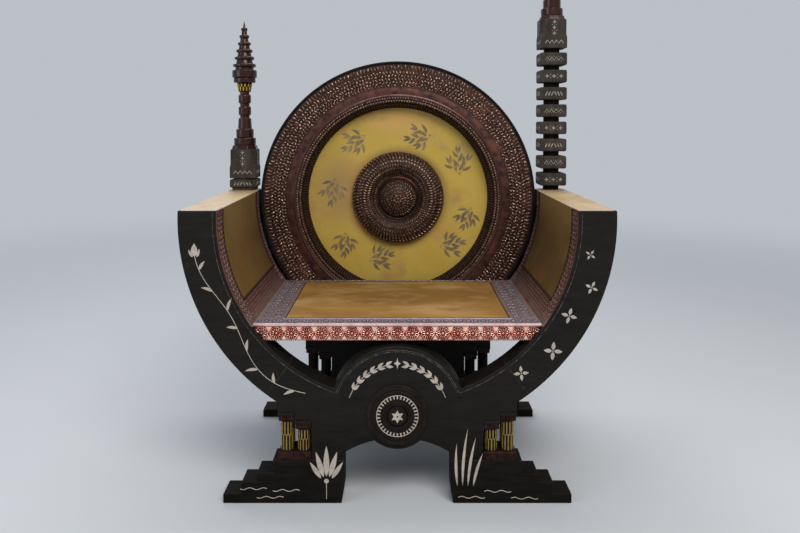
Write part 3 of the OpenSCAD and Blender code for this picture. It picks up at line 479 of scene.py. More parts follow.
# every finish: its name, dark and light colour, range of roughness and grain scale, then what else it has
discSquash = (1, 0, 1)
finish = {
    "ebony": makeFinish("ebonisedWood", (0.0056, 0.0049, 0.0041), (0.0122, 0.0105, 0.0088), (0.54, 0.7), 40,
        shine=0.15, grain=(0.35, 1, 1.6), rubbed=(0.06, 0.053, 0.046),
        dull=(0.04, (0, 0, 0), (0, 0, 1), 0.24, 0.06), stains=(((0.01, 0.007, 0.0055), 7, 0.5, 0.7),)),
    "rearBow": makeFinish("rearBowWood", (0.0056, 0.0049, 0.0041), (0.0122, 0.0105, 0.0088), (0.84, 0.94), 40,
        shine=0.02, grain=(0.35, 1, 1.6)),
    "rim": makeFinish("rimWood", (0.005, 0.0045, 0.004), (0.01, 0.009, 0.008), (0.7, 0.85), 40, shine=0.1),
    "medallion": makeFinish("medallionWood", (0.0058, 0.0042, 0.0036), (0.0125, 0.008, 0.0066), (0.48, 0.64),
        50, shine=0.1, wornAndGlint=(0.03, 0.02, 0.015)),
    "turned": makeFinish("turnedWood", (0.021, 0.0062, 0.004), (0.044, 0.0125, 0.0076), (0.13, 0.25), 60,
        shine=0.27, grain=(1, 1, 0.15), wornAndGlint=(0.1, 0.042, 0.03), hollow=(0.008, 0.0035, 0.003), bump=0.06),
    "column": makeFinish("columnWood", (0.0076, 0.0025, 0.0015), (0.0172, 0.0056, 0.0033), (0.5, 0.65), 60,
        shine=0.1, grain=(1, 1, 0.15), wornAndGlint=(0.036, 0.014, 0.0105), bump=0.08),
    "post": makeFinish("postWood", (0.032, 0.0262, 0.0212), (0.064, 0.053, 0.043), (0.62, 0.78), 45,
        shine=0.08, grain=(1, 1, 0.3), rubbed=(0.14, 0.13, 0.115), wornAndGlintScale=130, bump=0.12,
        stains=(((0.032, 0.024, 0.018), 24, 0.5, 0.7),)),
    "stripeGround": makeFinish("stripedWood", (0.0045, 0.0036, 0.0028), (0.0095, 0.0076, 0.0058),
        (0.62, 0.78), 60, shine=0.08, grain=(1, 1, 0.2), bump=0.06),
    # cap parchment: pinkish near the front edge, a painted highlight; darker towards the rear
    "capParchment": makeFinish("capParchment", (0.47, 0.335, 0.165), (0.56, 0.43, 0.25), (0.4, 0.55), 9,
        shine=0.4, grain=(1, 0.3, 1), bump=0.06,
        fades=(((0.34, 0.245, 0.085), (0, 0.3, 0), (0, 1, 0), 0.24, 0.02),
        ((0.46, 0.345, 0.295), (0, -0.3, 0), (0, 1, 0), 0.075, 0.026)),
        stains=(((0.37, 0.235, 0.095), 12, 0.5, 0.7, (1, 0.4, 1)),
        ((0.47, 0.355, 0.315), 13, 0.5, 0.68, (0.25, 1.8, 1)))),
    # arm panel parchment: far darker than the other parchment, a painted shade for these inner faces; its
    # first fade, lighter near the top edge, is painted light, and the second, darker low on the right arm,
    # painted shade
    "armParchment": makeFinish("armParchment", (0.104, 0.056, 0.015), (0.156, 0.09, 0.0265), (0.4, 0.55), 7,
        shine=0.35, grain=(1, 0.5, 0.5), bump=0.07,
        fades=(((0.195, 0.123, 0.044), (0, 0, 0.675), (0, 0, 1), 0.13, 0.0),
        ((0.082, 0.0435, 0.0112), (0.39, 0, 0.5), (1, 0, 1), 0.17, 0.05)),
        stains=(((0.14, 0.06, 0.015), 6, 0.52, 0.72), ((0.125, 0.09, 0.024), 9, 0.54, 0.72))),
    "seatParchment": makeFinish("seatParchment", (0.33, 0.181, 0.042), (0.4, 0.24, 0.068), (0.4, 0.55), 7,
        shine=0.35, grain=(0.7, 1, 1), bump=0.07,
        fades=(((0.21, 0.098, 0.025), (0.05, 0.01, 0), (0.4, 1, 0), 0.17, 0.02),),
        stains=(((0.225, 0.1, 0.022), 5.5, 0.42, 0.7, (0.55, 1.2, 1)),
        ((0.44, 0.288, 0.128), 8, 0.52, 0.76, (0.7, 1, 1)),
        ((0.165, 0.07, 0.016), 12, 0.54, 0.76, (0.6, 1, 1)))),
    # disc parchment: darker towards the rim, an orange tone at the top, darker to the left; the last fade,
    # darker towards the boss, is painted shadow round the raised boss
    "discParchment": makeFinish("discParchment", (0.462, 0.318, 0.053), (0.54, 0.388, 0.075), (0.42, 0.6), 7,
        shine=0.3, bump=0.06, fades=(((0.25, 0.165, 0.055), disc, discSquash, 0.232, 0.36),
        ((0.53, 0.325, 0.095), (0, 0, 0.882), (0.5, 0, 1), 0.075, 0.012),
        ((0.335, 0.222, 0.076), (-0.17, 0, 0.68), (1, 0, 0.7), 0.105, 0.016),
        ((0.19, 0.115, 0.035), disc, discSquash, 0.165, 0.118)), stains=(((0.42, 0.235, 0.07), 7, 0.52, 0.7),
        ((0.34, 0.235, 0.1), 12, 0.56, 0.72))),
    "ringCopper": makeFinish("ringCopper", (0.02, 0.0068, 0.0044), (0.096, 0.034, 0.0225), (0.38, 0.55), 45,
        metal=0.6, grainSpan=(0.36, 0.62), wornAndGlint=(0.26, 0.12, 0.09), bump=0.2, bumpScale=160,
        fades=(((0.02, 0.008, 0.006), disc, discSquash, 0.322, 0.334),),
        stains=(((0.145, 0.044, 0.033), 16, 0.55, 0.72),)),
    # on the studs of the back and the boss the bright worn colour is partly worn high points and partly
    # painted glints
    "studCopper": makeFinish("studCopper", (0.056, 0.0225, 0.0125), (0.15, 0.068, 0.042), (0.18, 0.36), 90,
        metal=0.75, wornAndGlint=(0.64, 0.42, 0.3), hollow=(0.012, 0.005, 0.003), wornAndGlintScale=150, bump=0.25,
        bumpScale=220),
    "bossCopper": makeFinish("bossCopper", (0.031, 0.013, 0.0074), (0.087, 0.041, 0.0248), (0.28, 0.46), 90,
        metal=0.65, wornAndGlint=(0.29, 0.182, 0.122), hollow=(0.012, 0.006, 0.004), wornAndGlintScale=150, bump=0.25,
        bumpScale=220),
    "bossGround": makeFinish("bossGround", (0.02, 0.0088, 0.0062), (0.052, 0.024, 0.0175), (0.42, 0.6), 60,
        metal=0.5, shine=0.3, bump=0.3, bumpScale=190, stains=(((0.09, 0.03, 0.023), 16, 0.56, 0.74),)),
    # the cove's reddish patch at its upper right is a painted highlight
    "cove": makeFinish("coveCopper", (0.018, 0.008, 0.0056), (0.046, 0.021, 0.015), (0.4, 0.56), 60,
        metal=0.5, shine=0.3, bump=0.2, bumpScale=190,
        fades=(((0.135, 0.042, 0.032), (0.022, 0, 0.71), (1, 0, 1), 0.06, 0.018),)),
    "throatGround": makeFinish("throatGround", (0.0085, 0.0034, 0.0026), (0.02, 0.008, 0.006), (0.6, 0.8), 80,
        metal=0.3, shine=0.15),
    "ribCopper": makeFinish("ribCopper", (0.0155, 0.0062, 0.0053), (0.038, 0.0165, 0.014), (0.5, 0.68), 110,
        metal=0.4, shine=0.18, wornAndGlint=(0.085, 0.046, 0.038)),
    # arm border copper: the second fade, darker on the right arm, is painted shade
    "armCopper": makeFinish("armCopper", (0.078, 0.031, 0.0265), (0.146, 0.074, 0.067), (0.36, 0.52), 45,
        metal=0.55, bump=0.12, fades=(((0.2, 0.128, 0.112), (0, 0, 0.412), (0, 0, 1), 0.034, 0.004),
        ((0.052, 0.0225, 0.015), (0.41, 0, 0.64), (1, 0, 0.8), 0.2, 0.07)),
        stains=(((0.13, 0.038, 0.028), 14, 0.52, 0.7),)),
    # arm studs: the second fade, darker on the right arm, is painted shade
    "armStud": makeFinish("armStud", (0.084, 0.035, 0.03), (0.172, 0.098, 0.09), (0.36, 0.54), 80, metal=0.5,
        wornAndGlint=(0.225, 0.138, 0.122), hollow=(0.045, 0.016, 0.013),
        fades=(((0.092, 0.03, 0.024), (0, 0, 0.675), (0, 0, 1), 0.15, 0.01),
        ((0.06, 0.0265, 0.0175), (0.41, 0, 0.64), (1, 0, 0.8), 0.2, 0.07)),
        stains=(((0.16, 0.05, 0.038), 14, 0.5, 0.66),)),
    # the crest is light only near the top and darker elsewhere: a painted highlight
    "crest": makeFinish("crestCopper", (0.084, 0.035, 0.03), (0.172, 0.098, 0.09), (0.36, 0.54), 80,
        metal=0.5, fades=(((0.046, 0.0165, 0.0115), (0, 0, 0.954), (1, 0, 1), 0.1, 0.26),)),
    "redGround": makeFinish("redGround", (0.07, 0.011, 0.009), (0.15, 0.024, 0.019), (0.35, 0.5), 60,
        metal=0.6),
    # apron relief: its bright worn colour is partly worn high points and partly painted highlight where the
    # relief catches the light
    "redCopper": makeFinish("redCopper", (0.52, 0.078, 0.05), (0.88, 0.32, 0.22), (0.2, 0.36), 60, metal=0.7,
        wornAndGlint=(0.94, 0.6, 0.47), wornAndGlintScale=70, bump=0.15, bumpScale=170,
        stains=(((0.5, 0.07, 0.055), 20, 0.52, 0.7),)),
    "paleRose": makeFinish("paleRose", (0.58, 0.352, 0.338), (0.74, 0.512, 0.5), (0.25, 0.4), 30, metal=0.4,
        bump=0.08),
    # pale finish of the triangles between the apron rosettes: painted highlight
    "brightRose": makeFinish("brightRose", (0.7, 0.34, 0.25), (0.97, 0.75, 0.62), (0.2, 0.34), 26, metal=0.45,
        grainSpan=(0.38, 0.58), bump=0.08),
    "pewter": makeFinish("pewterSheet", (0.215, 0.15, 0.138), (0.3, 0.222, 0.21), (0.34, 0.5), 26, metal=0.45,
        bump=0.06, fades=(((0.255, 0.208, 0.256), (0, -0.264, 0), (0, 1, 0), 0.07, 0.035),),
        stains=(((0.24, 0.155, 0.14), 12, 0.54, 0.72),)),
    "pewterLobe": makeFinish("pewterLobe", (0.21, 0.168, 0.19), (0.33, 0.275, 0.31), (0.36, 0.52), 70,
        metal=0.45, wornAndGlint=(0.44, 0.38, 0.42), bump=0.08),
    "pewterDark": makeFinish("pewterDark", (0.042, 0.037, 0.054), (0.1, 0.086, 0.116), (0.4, 0.55), 60,
        metal=0.4, bump=0.08),
    "bone": makeFinish("boneInlay", (0.36, 0.315, 0.268), (0.51, 0.45, 0.385), (0.4, 0.6), 70,
        stains=(((0.3, 0.25, 0.21), 60, 0.54, 0.72),)),
    "postInlay": makeFinish("postInlay", (0.13, 0.115, 0.098), (0.33, 0.3, 0.26), (0.4, 0.6), 120),
    "line": makeFinish("lineInlay", (0.022, 0.019, 0.016), (0.17, 0.15, 0.125), (0.4, 0.6), 90, shine=0.3,
        grainSpan=(0.45, 0.68)),
    "brass": makeFinish("brassStripe", (0.2, 0.136, 0.03), (0.37, 0.262, 0.074), (0.36, 0.52), 80, metal=0.5,
        stains=(((0.19, 0.12, 0.03), 60, 0.52, 0.72),)),
    "collarBrass": makeFinish("collarBrass", (0.34, 0.222, 0.028), (0.55, 0.372, 0.058), (0.3, 0.46), 80,
        metal=0.5),
    "piping": makeFinish("pipingCord", (0.013, 0.0042, 0.003), (0.03, 0.0092, 0.0066), (0.5, 0.7), 120,
        shine=0.2, bump=0.2),
    "sprig": makeFinish("sprigPaint", (0.14, 0.104, 0.068), (0.275, 0.2, 0.09), (0.5, 0.7), 30, shine=0.3,
        grainSpan=(0.38, 0.66), bump=0.05),
    "dowel": makeFinish("dowelWood", (0.3, 0.19, 0.1), (0.42, 0.28, 0.16), (0.5, 0.7), 60, grain=(1, 1, 0.2)),
    "screw": makeFinish("screwBrass", (0.46, 0.32, 0.11), (0.6, 0.44, 0.18), (0.25, 0.4), 90, metal=0.9),
}
print("finishes made:", len(finish))


# frames: bows, yokes and stepped feet
frames = {"ease": 0.0018, "shortest": 0.0024, "jointBand": 0.0009, "jointLow": 0.2, "footBand": 0.0006,
          "legBand": 0.0002}


def clearOfJoints(spot):
    turn = math.radians(throne["jointAngle"])
    away = abs(abs(spot.x) * math.sin(turn) + (spot.z - bowZ) * math.cos(turn))
    onJoint = away < frames["jointBand"] and spot.z > frames["jointLow"]
    onFoot = (abs(spot.z - throne["footTop"]) < frames["footBand"]
              and abs(spot.x) < throne["legX"] - frames["legBand"])
    return not (onJoint or onFoot)


for side in ("front", "rear"):
    for part in ("bow_left", "bow_right", "yoke", "foot_left", "foot_right"):
        legX = throne["legX"] * (-1 if "left" in part else 1)
        wood = "rearBow" if side == "rear" and "bow" in part else "ebony"
        softCopy(side + "_" + part, wood, frames["ease"], keep=clearOfJoints,
                 shortest=frames["shortest"], cuts=[((legX, 0, 0), (1, 0, 0))] if "foot" in part else ())
print("frames eased")


# colonnades in the stepped cut-outs; rows: X and top of the outer and inner shafts
columns = {
    "rows": ((0.255, 0.1892), (0.2165, 0.1704)), "gapY": 0.0155, "footZ": 0.1195, "radius": 0.013,
    "stripes": 11, "stripeWide": 0.0032, "stripeThick": 0.0018, "stripeEase": 0.0008,
    "stripeRows": ((0.03, 0.56), (0.52, 0.97)), "ringRadius": 0.0014, "ringIn": 0.001, "ringStep": 15,
    "abacusEase": 0.0012, "baseEase": 0.0045, "baseBand": 0.0002, "capitalEase": 0.004, "capitalBand": 0.0004,
}


# two rows of brass tongues that slot into each other
def shaftStripes(height):
    rows = []
    for row, (low, high) in enumerate(columns["stripeRows"]):
        first = easedBlock(columns["stripeWide"], columns["stripeThick"], height * (high - low),
                           columns["stripeEase"], spin(180 / columns["stripes"] * row)
                           @ move(0, -columns["radius"], height * (low + high) / 2))
        rows.append(ringArray(first, columns["stripes"], (0, 0, 0), "Z"))
    return joined(rows)


def shaftRings(height):
    ring = [spoke(a, columns["radius"]) for a in range(0, 360, columns["ringStep"])]
    return joined([wire([(x, y, z) for x, y in ring], columns["ringRadius"], True)
                   for z in (columns["ringIn"], height - columns["ringIn"])])


def onCapitalTop(spot):
    return min(abs(spot.z - top) for _, top in columns["rows"]) < columns["capitalBand"]


for side, middle in (("front", -throne["postY"]), ("rear", throne["postY"])):
    softCopy(side + "_shafts", "stripeGround")
    softCopy(side + "_abaci", "ebony", columns["abacusEase"])
    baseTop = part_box(side + "_bases")[1].z
    softCopy(side + "_bases", "column", columns["baseEase"], segments=3,
             keep=lambda spot: abs(spot.z - baseTop) < columns["baseBand"])
    softCopy(side + "_capitals", "column", columns["capitalEase"], segments=3,
             keep=onCapitalTop)
    bands, rings = [], []
    for alongX, top in columns["rows"]:
        height = top - columns["footZ"]
        oneBand, oneRing = shaftStripes(height), shaftRings(height)
        for sign in (-1, 1):
            for depth in (-1, 1):
                shift = move(sign * alongX, middle + depth * columns["gapY"], columns["footZ"])
                rings.append(copyOf(oneRing, shift))
                if side == "front" or depth == 1:  # the inner rear row has no stripes and stays black, a painted shade under the seat
                    bands.append(copyOf(oneBand, shift))
        for spare in (oneBand, oneRing):
            bpy.data.objects.remove(spare)
    keepPiece(joined(bands), side + "_shaft_stripes", "brass")
    keepPiece(joined(rings), side + "_shaft_rings", "column")
print("colonnades done")


# hub medallions
medal = {
    "ticks": 34, "tickR": 0.0432, "tickSize": (0.0031, 0.001, 0.0092), "tickEase": 0.0004, "tickLift": 0.0075,
    "line": 0.0474, "lineRadius": 0.0009, "grooves": (0.027, 0.0315, 0.0555, 0.0625), "grooveRadius": 0.0015,
    "grooveLift": 0.0058, "innerR": 0.04, "innerLift": 0.003, "starIn": 0.008, "starOut": 0.015,
    "starEye": 0.0022, "starThick": 0.0012, "starLift": 0.01,
}
for side, sign in (("front", -1), ("rear", 1)):
    face = sign * (throne["rearFace"] + medal["tickLift"])
    softCopy(side + "_medallion", "medallion")
    softCopy(side + "_tick_ring", "medallion")
    tick = easedBlock(*medal["tickSize"], medal["tickEase"], move(0, face, hubZ + medal["tickR"]))
    ringArray(tick, medal["ticks"], hub)
    rim = wire(frontCircle(medal["line"], face, hubZ), medal["lineRadius"], True)
    keepPiece(joined([tick, rim]), side + "_ticks", "bone")
    turned = []
    for radius in medal["grooves"]:
        inner = radius < medal["innerR"]
        y = sign * (throne["rearFace"] + medal["grooveLift"] + medal["innerLift"] * inner)
        turned.append(wire(frontCircle(radius, y, hubZ), medal["grooveRadius"], True))
    keepPiece(joined(turned), side + "_medallion_rings", "medallion")
    outline = [spoke(a, medal["starOut"] if a % 60 else medal["starIn"]) for a in range(0, 360, 30)]
    star = flatInlay([outline, roundOutline((0, 0), medal["starEye"], steps=8)], medal["starThick"],
                     onFront(sign * (throne["rearFace"] + medal["starLift"]), 0, hubZ))
    keepPiece(star, side + "_star_petals", "bone", [side + "_star"])
softCopy("hub_stretcher", "ebony")
print("medallions done")


# arms
arms = {
    "borderR": 0.409, "stud": (0.0046, 0.0027, 0.0016), "skew": 28, "topAngle": -2.2, "seatAngle": 35.0,
    "step": 1.55, "stagger": 0.4, "frontRows": (-0.272, -0.2628, -0.2536, -0.2444, -0.2352),
    "rearRows": (0.1765, 0.1855, 0.1945, 0.2035), "lowRows": (29.0, 30.15, 31.3, 32.45, 33.6, 34.75),
    "lowStud": (0.0027, 0.0046, 0.0013), "lowStep": 0.0176, "lowIn": 0.006, "lowCount": 22,
    "panelY": (-0.2298, 0.1698), "panelAngle": 28, "pipe": 0.0032, "pipeOut": 0.0006, "pipeTop": -3,
    "veneer": 0.0006, "veneerX": (0.4122, 0.4982), "veneerY": (0.2125, 0.2776), "veneerCut": 0.011,
    "cutSlant": 0.7, "capEase": 0.0015, "capEnd": 0.2115,
}


# place on the inside of the right arm, facing the middle: angle below level and depth
def onArm(angle, y):
    x, z = polar(angle, arms["borderR"])
    return move(x, y, z) @ Matrix.Rotation(math.radians(angle) - math.pi / 2, 4, "Y")


def armStuds():
    rows = []
    count = int((arms["seatAngle"] - arms["topAngle"]) / arms["step"])
    for i, y in enumerate(arms["frontRows"] + arms["rearRows"]):
        first = stud(*arms["stud"], onArm(arms["topAngle"] + arms["stagger"] * (i % 2), y)
                     @ spin(arms["skew"] if i % 2 else -arms["skew"]))
        rows.append(ringArray(first, count, disc, step=arms["step"]))
    for i, angle in enumerate(arms["lowRows"]):
        y = arms["panelY"][0] + arms["lowIn"] + arms["lowStep"] / 2 * (i % 2)
        first = stud(*arms["lowStud"], onArm(angle, y))
        rows.append(rowArray(first, arms["lowCount"], (0, arms["lowStep"], 0)))
    return joined(rows)


def armPiping():
    radius = arms["borderR"] + arms["pipeOut"]
    arc = [polar(a / 2, radius) for a in range(2 * arms["pipeTop"], 2 * arms["panelAngle"] + 1)]
    lines = [[(x, y, z) for x, z in arc] for y in arms["panelY"]]
    lines.append([(arc[-1][0], y, arc[-1][1]) for y in arms["panelY"]])
    return joined([wire(line, arms["pipe"]) for line in lines])


# thin veneer that carries the cap over the tops of the frames, worn back at its outer corners
def armVeneer():
    (near, far), (inner, outer) = arms["veneerX"], arms["veneerY"]
    cut, half = arms["veneerCut"], arms["veneer"] / 2
    sheets = []
    for sign in (-1, 1):
        outline = [(near, sign * inner), (far, sign * inner), (far, sign * (outer - cut)),
                   (far - cut * arms["cutSlant"], sign * outer), (near, sign * outer)]
        sheets.append(flatInlay([outline], half, move(0, 0, throne["armZ"] + half)))
    return joined(sheets)


for piece, name, look, slotName in ((armStuds(), "arm_studs", "armStud", "dark_copper"),
                                    (armPiping(), "arm_piping", "piping", "turned_wood"),
                                    (armVeneer(), "arm_veneer", "capParchment", "parchment")):
    mirrored = sealed(copyOf(piece, Matrix.Diagonal((-1, 1, 1, 1))))
    keepPiece(piece, name + "_right", look)
    keepPiece(mirrored, name + "_left", look)
for hand in ("left", "right"):
    softCopy("arm_cap_" + hand, "capParchment", arms["capEase"],
             keep=lambda spot: abs(spot.y) < arms["capEnd"])
    softCopy("arm_border_" + hand, "armCopper")
    softCopy("arm_panel_" + hand, "armParchment")
    softCopy("arm_outer_" + hand, "ebony")
    nodeFinish("ebony", "arm_inner_" + hand)
softCopy("arm_soles", "ebony")
print("arms done")


# seat
seat = {
    "topZ": 0.413, "frontY": -0.264, "panelX": 0.265, "panelY": (-0.218, 0.174), "panelEase": 0.0006,
    "roll": 0.0038, "rollHalf": 0.3315, "rollIn": 0.0012, "rollDrop": 0.003, "apronZ": 0.3905, "step": 0.0348,
    "rosettes": 19, "rosetteEye": 0.0034, "petals": ((0.0088, 0.0046, 0.0014, 0.0026, 12, 0),
                                                     (0.0142, 0.0026, 0.0012, 0.0022, 24, 7.5)),
    "points": ((0.0102, 0.01, 0.0094, 180), (-0.0108, 0.0078, 0.0076, 0)), "pointHigh": 0.0034,
    "bead": (0.0022, 0.0016, 0.0018), "beadX": -0.326, "beadZ": 0.3757, "beads": 132, "beadStep": 0.00497,
}
flowers = {
    "frontSize": (0.0158, 0.015), "frontY": -0.2415, "sideSize": (0.0108, 0.012), "sideX": 0.2985,
    "sideStep": 0.0285, "sideRows": ((-0.0125, -0.206, 14), (0.0125, -0.1918, 13)), "rear": 15,
    "rearSize": (0.015, 0.0085), "rearY": 0.1862, "groundHigh": 0.0006, "eye": (0.17, 0.2, 0.0016),
    "lobes": ((0.28, 0.58), (0.21, 0.5)), "lobeWide": 0.14, "lobeHigh": 0.0013, "lobeOut": 0.58,
}
step = seat["step"]


# repousse flower: a dark sunk ground with bright lobes, long and short in turn; returns both
def flower(reach, deep):
    top = move(0, 0, seat["topZ"])
    eyeX, eyeY, eyeHigh = flowers["eye"]
    ground = stud(reach, deep, flowers["groundHigh"], top, sides=12)
    parts = [stud(reach * eyeX, deep * eyeY, eyeHigh, top)]
    for turn in range(0, 360, 45):
        long, out = flowers["lobes"][turn % 90 // 45]
        u, v = spoke(turn, 1)
        parts.append(stud(reach * long, deep * flowers["lobeWide"], flowers["lobeHigh"],
                          move(reach * out * u, deep * flowers["lobeOut"] * v, seat["topZ"]) @ spin(turn)))
    return ground, joined(parts)


# the first of a row of apron rosettes or flowers that is centred on the throne
def firstOf(count):
    return -(count - 1) / 2 * step


rows = [(flowers["frontSize"], firstOf(seat["rosettes"]), flowers["frontY"], seat["rosettes"], (step, 0, 0))]
for sign in (-1, 1):
    for out, y, count in flowers["sideRows"]:
        x = sign * (flowers["sideX"] + out)
        rows.append((flowers["sideSize"], x, y, count, (0, flowers["sideStep"], 0)))
rows.append((flowers["rearSize"], firstOf(flowers["rear"]), flowers["rearY"], flowers["rear"], (step, 0, 0)))
grounds, lobes = [], []
for size, x, y, count, shift in rows:
    for part, pile in zip(flower(*size), (grounds, lobes)):
        pile.append(rowArray(settle(part, move(x, y, 0)), count, shift))
keepPiece(joined(grounds), "seat_flower_grounds", "pewterDark")
keepPiece(joined(lobes), "seat_flowers", "pewterLobe")

# lines round the panel
for name, out, radius, look, slotName in (("seat_panel_line", 0.0, 0.0016, "piping", "turned_wood"),
                                          ("seat_panel_rim", 0.0036, 0.0014, "pewterLobe", "pewter_sheet")):
    loop = [(side * (seat["panelX"] + out), seat["panelY"][end] + (out if end else -out), seat["topZ"])
            for side, end in ((-1, 0), (1, 0), (1, 1), (-1, 1))]
    keepPiece(wire(loop, radius, True), name, look)
softCopy("seat_border", "pewter")
softCopy("seat_panel", "seatParchment", seat["panelEase"])
for name in ("seat_board", "seat_battens"):
    softCopy(name, "ebony")

# smooth rolled strip along the front edge, over the apron
ends = [(x, seat["frontY"] + seat["rollIn"], seat["topZ"] - seat["rollDrop"])
        for x in (-seat["rollHalf"], seat["rollHalf"])]
keepPiece(wire(ends, seat["roll"], sides=3), "seat_roll", "paleRose")


def rosette():
    y, z, eye = seat["frontY"], seat["apronZ"], seat["rosetteEye"]
    parts = [stud(eye, eye, eye, onFront(y, 0, z), sides=8, rings=6)]
    for radius, halfLong, halfWide, high, count, turn in seat["petals"]:
        petal = stud(halfWide, halfLong, high, turnAbout(turn, (0, 0, z), "Y") @ onFront(y, 0, z + radius))
        parts.append(ringArray(petal, count, (0, 0, z)))
    return joined(parts)


first = firstOf(seat["rosettes"])
relief = [rowArray(settle(rosette(), move(first, 0, 0)), seat["rosettes"], (step, 0, 0))]
# triangles between the rosettes, their pale finish a painted highlight where the relief catches the light
points = []
for z, long, wide, turn in seat["points"]:
    point = stud(wide, long, seat["pointHigh"],
                 onFront(seat["frontY"], first + step / 2, seat["apronZ"] + z) @ spin(turn), sides=3)
    points.append(rowArray(point, seat["rosettes"] - 1, (step, 0, 0)))
keepPiece(joined(points), "apron_points", "brightRose", angle=20)
bead = stud(*seat["bead"], onFront(seat["frontY"], seat["beadX"], seat["beadZ"]))
relief.append(rowArray(bead, seat["beads"], (seat["beadStep"], 0, 0)))
keepPiece(joined(relief), "apron_rosettes", "redCopper")
softCopy("seat_apron", "redGround")
print("seat done")


# round back; rows and beads: radius, (Y,) half sizes, height, count (and skew); arcs: radius, Y, thickness
back = {
    "copperY": 0.1996, "archGap": 0.16, "edgeR": 0.39, "edgeEase": 0.0016, "railEase": 0.0015,
    "rows": ((0.3842, 0.0086, 0.003, 0.005, 240, 0), (0.369, 0.0062, 0.0031, 0.005, 240, 34),
             (0.3592, 0.006, 0.0031, 0.0046, 236, -34), (0.3494, 0.006, 0.0031, 0.0048, 230, 34),
             (0.3396, 0.006, 0.0031, 0.0044, 224, -34), (0.3318, 0.0034, 0.0034, 0.0036, 210, 0)),
    "swayWide": 0.0011, "swayDeep": 0.0009, "swayWaves": (310, 270, 350, 330),
    "beads": ((0.286, 0.1965, 0.0041, 0.0029, 0.003, 236), (0.2943, 0.1998, 0.0037, 0.0028, 0.0036, 244)),
    "arcs": {"back_crest": (0.302, 0.199, 0.004), "back_lip": (0.3965, 0.2005, 0.0046),
             "back_parchment_edge": (0.2668, 0.2436, 0.001), "boss_edge": (0.1345, 0.2428, 0.002),
             "boss_cove": (0.0622, 0.2238, 0.0046)},
    "ribs": 224, "ribSize": (0.0038, 0.0452, 0.0026), "ribEase": 0.0008, "ribY": 0.224, "ribR": 0.2722,
    "ribFall": (0.011, 0.044),
}


def onDisc(angle, radius, y):
    return turnAbout(angle, disc, "Y") @ onFront(y, 0, bowZ + radius)


# half the arc that the rear arch takes from a circle of the back
def archSpread(radius):
    hubDrop = bowZ - hubZ
    reach = (radius ** 2 + hubDrop ** 2 - back["archGap"] ** 2) / (2 * radius * hubDrop)
    return math.degrees(math.acos(reach)) if reach < 1 else 0.0


# a ring of studs on the front of the back, left open over the arch
def backRing(radius, y, halfRadial, halfAcross, high, count, skew=0, sides=7, rings=5):
    gap = archSpread(radius)
    step = 360 / count
    number = count if gap == 0 else int((360 - 2 * gap) / step)
    place = onDisc(180 + gap + step / 2, radius, y) @ spin(skew)
    return ringArray(stud(halfAcross, halfRadial, high, place, sides, rings), number, disc, step=step)


# a round moulding on the front of the back, left open over the arch
def keepArc(name, look):
    radius, y, thick = back["arcs"][name]
    gap = archSpread(radius)
    arc = frontCircle(radius, y, bowZ, 180 + gap, 540 - gap, count=200)
    keepPiece(wire(arc, thick, closed=gap == 0, sides=2), name, look)


def onBackEdge(spot):
    return math.hypot(spot.x, spot.z - bowZ) > back["edgeR"]


studs = joined([backRing(radius, back["copperY"], *sizes) for radius, *sizes in back["rows"]])
waveA, waveB, waveC, waveD = back["swayWaves"]
for vert in studs.data.vertices:  # beaten by hand, so no two quite match
    x, z = vert.co.x, vert.co.z
    sway = math.sin(x * waveA) * math.cos(z * waveB)
    vert.co += Vector((back["swayWide"] * math.sin(z * waveC), back["swayDeep"] * sway,
                       back["swayWide"] * math.sin(x * waveD)))
keepPiece(studs, "back_studs", "studCopper")
softCopy("back_copper", "ringCopper")
softCopy("back_bead", "bossGround")
keepArc("back_crest", "crest")
beads = [backRing(*sizes, sides=6, rings=4) for sizes in back["beads"]]
keepPiece(joined(beads), "back_bead_row", "bossCopper")
keepArc("back_lip", "rim")
keepArc("back_parchment_edge", "brass")
softCopy("back_rim", "rim", back["edgeEase"], corner=40, keep=onBackEdge)
softCopy("back_board", "ebony", back["edgeEase"], corner=60, shortest=0.004, keep=onBackEdge)

# fine ribs down the throat
rib = easedBlock(*back["ribSize"], back["ribEase"], move(0, back["ribY"], bowZ + back["ribR"])
                 @ Matrix.Rotation(-math.atan2(*back["ribFall"]), 4, "X"))
keepPiece(ringArray(rib, back["ribs"], disc), "back_ribs", "ribCopper")
softCopy("back_throat", "throatGround")
softCopy("back_parchment", "discParchment")

# boss and dome
boss = {
    "middleR": 0.097, "minorR": 0.038, "y": 0.244, "lifts": (19, 36, 53, 70, 87, 104, 121, 138),
    "columns": 80, "twist": 1.2, "studWide": 0.027, "studLong": 0.0066, "studHigh": 0.004, "skews": (-14, 30),
    "domeReach": 0.058, "domeCrown": 0.0313, "apex": 0.19, "eye": (0.005, 0.005, 0.003),
    "domeStud": (0.0028, 0.0064, 0.004), "domeTwist": 900, "domeSkew": 26,
    "domeRings": ((0.0105, 9), (0.02, 17), (0.0295, 24), (0.039, 32), (0.0485, 40)),
}


# radial rows of studs over the round-backed ring
def bossRows():
    row = []
    for i, lift in enumerate(boss["lifts"]):
        turn = math.radians(lift)
        radius = boss["middleR"] + boss["minorR"] * math.cos(turn)
        y = boss["y"] - boss["minorR"] * math.sin(turn)
        row.append(stud(radius * boss["studWide"], boss["studLong"], boss["studHigh"],
                        onDisc(boss["twist"] * i, radius, y)
                        @ Matrix.Rotation(turn - math.pi / 2, 4, "X") @ spin(boss["skews"][i % 2])))
    return ringArray(joined(row), boss["columns"], disc)


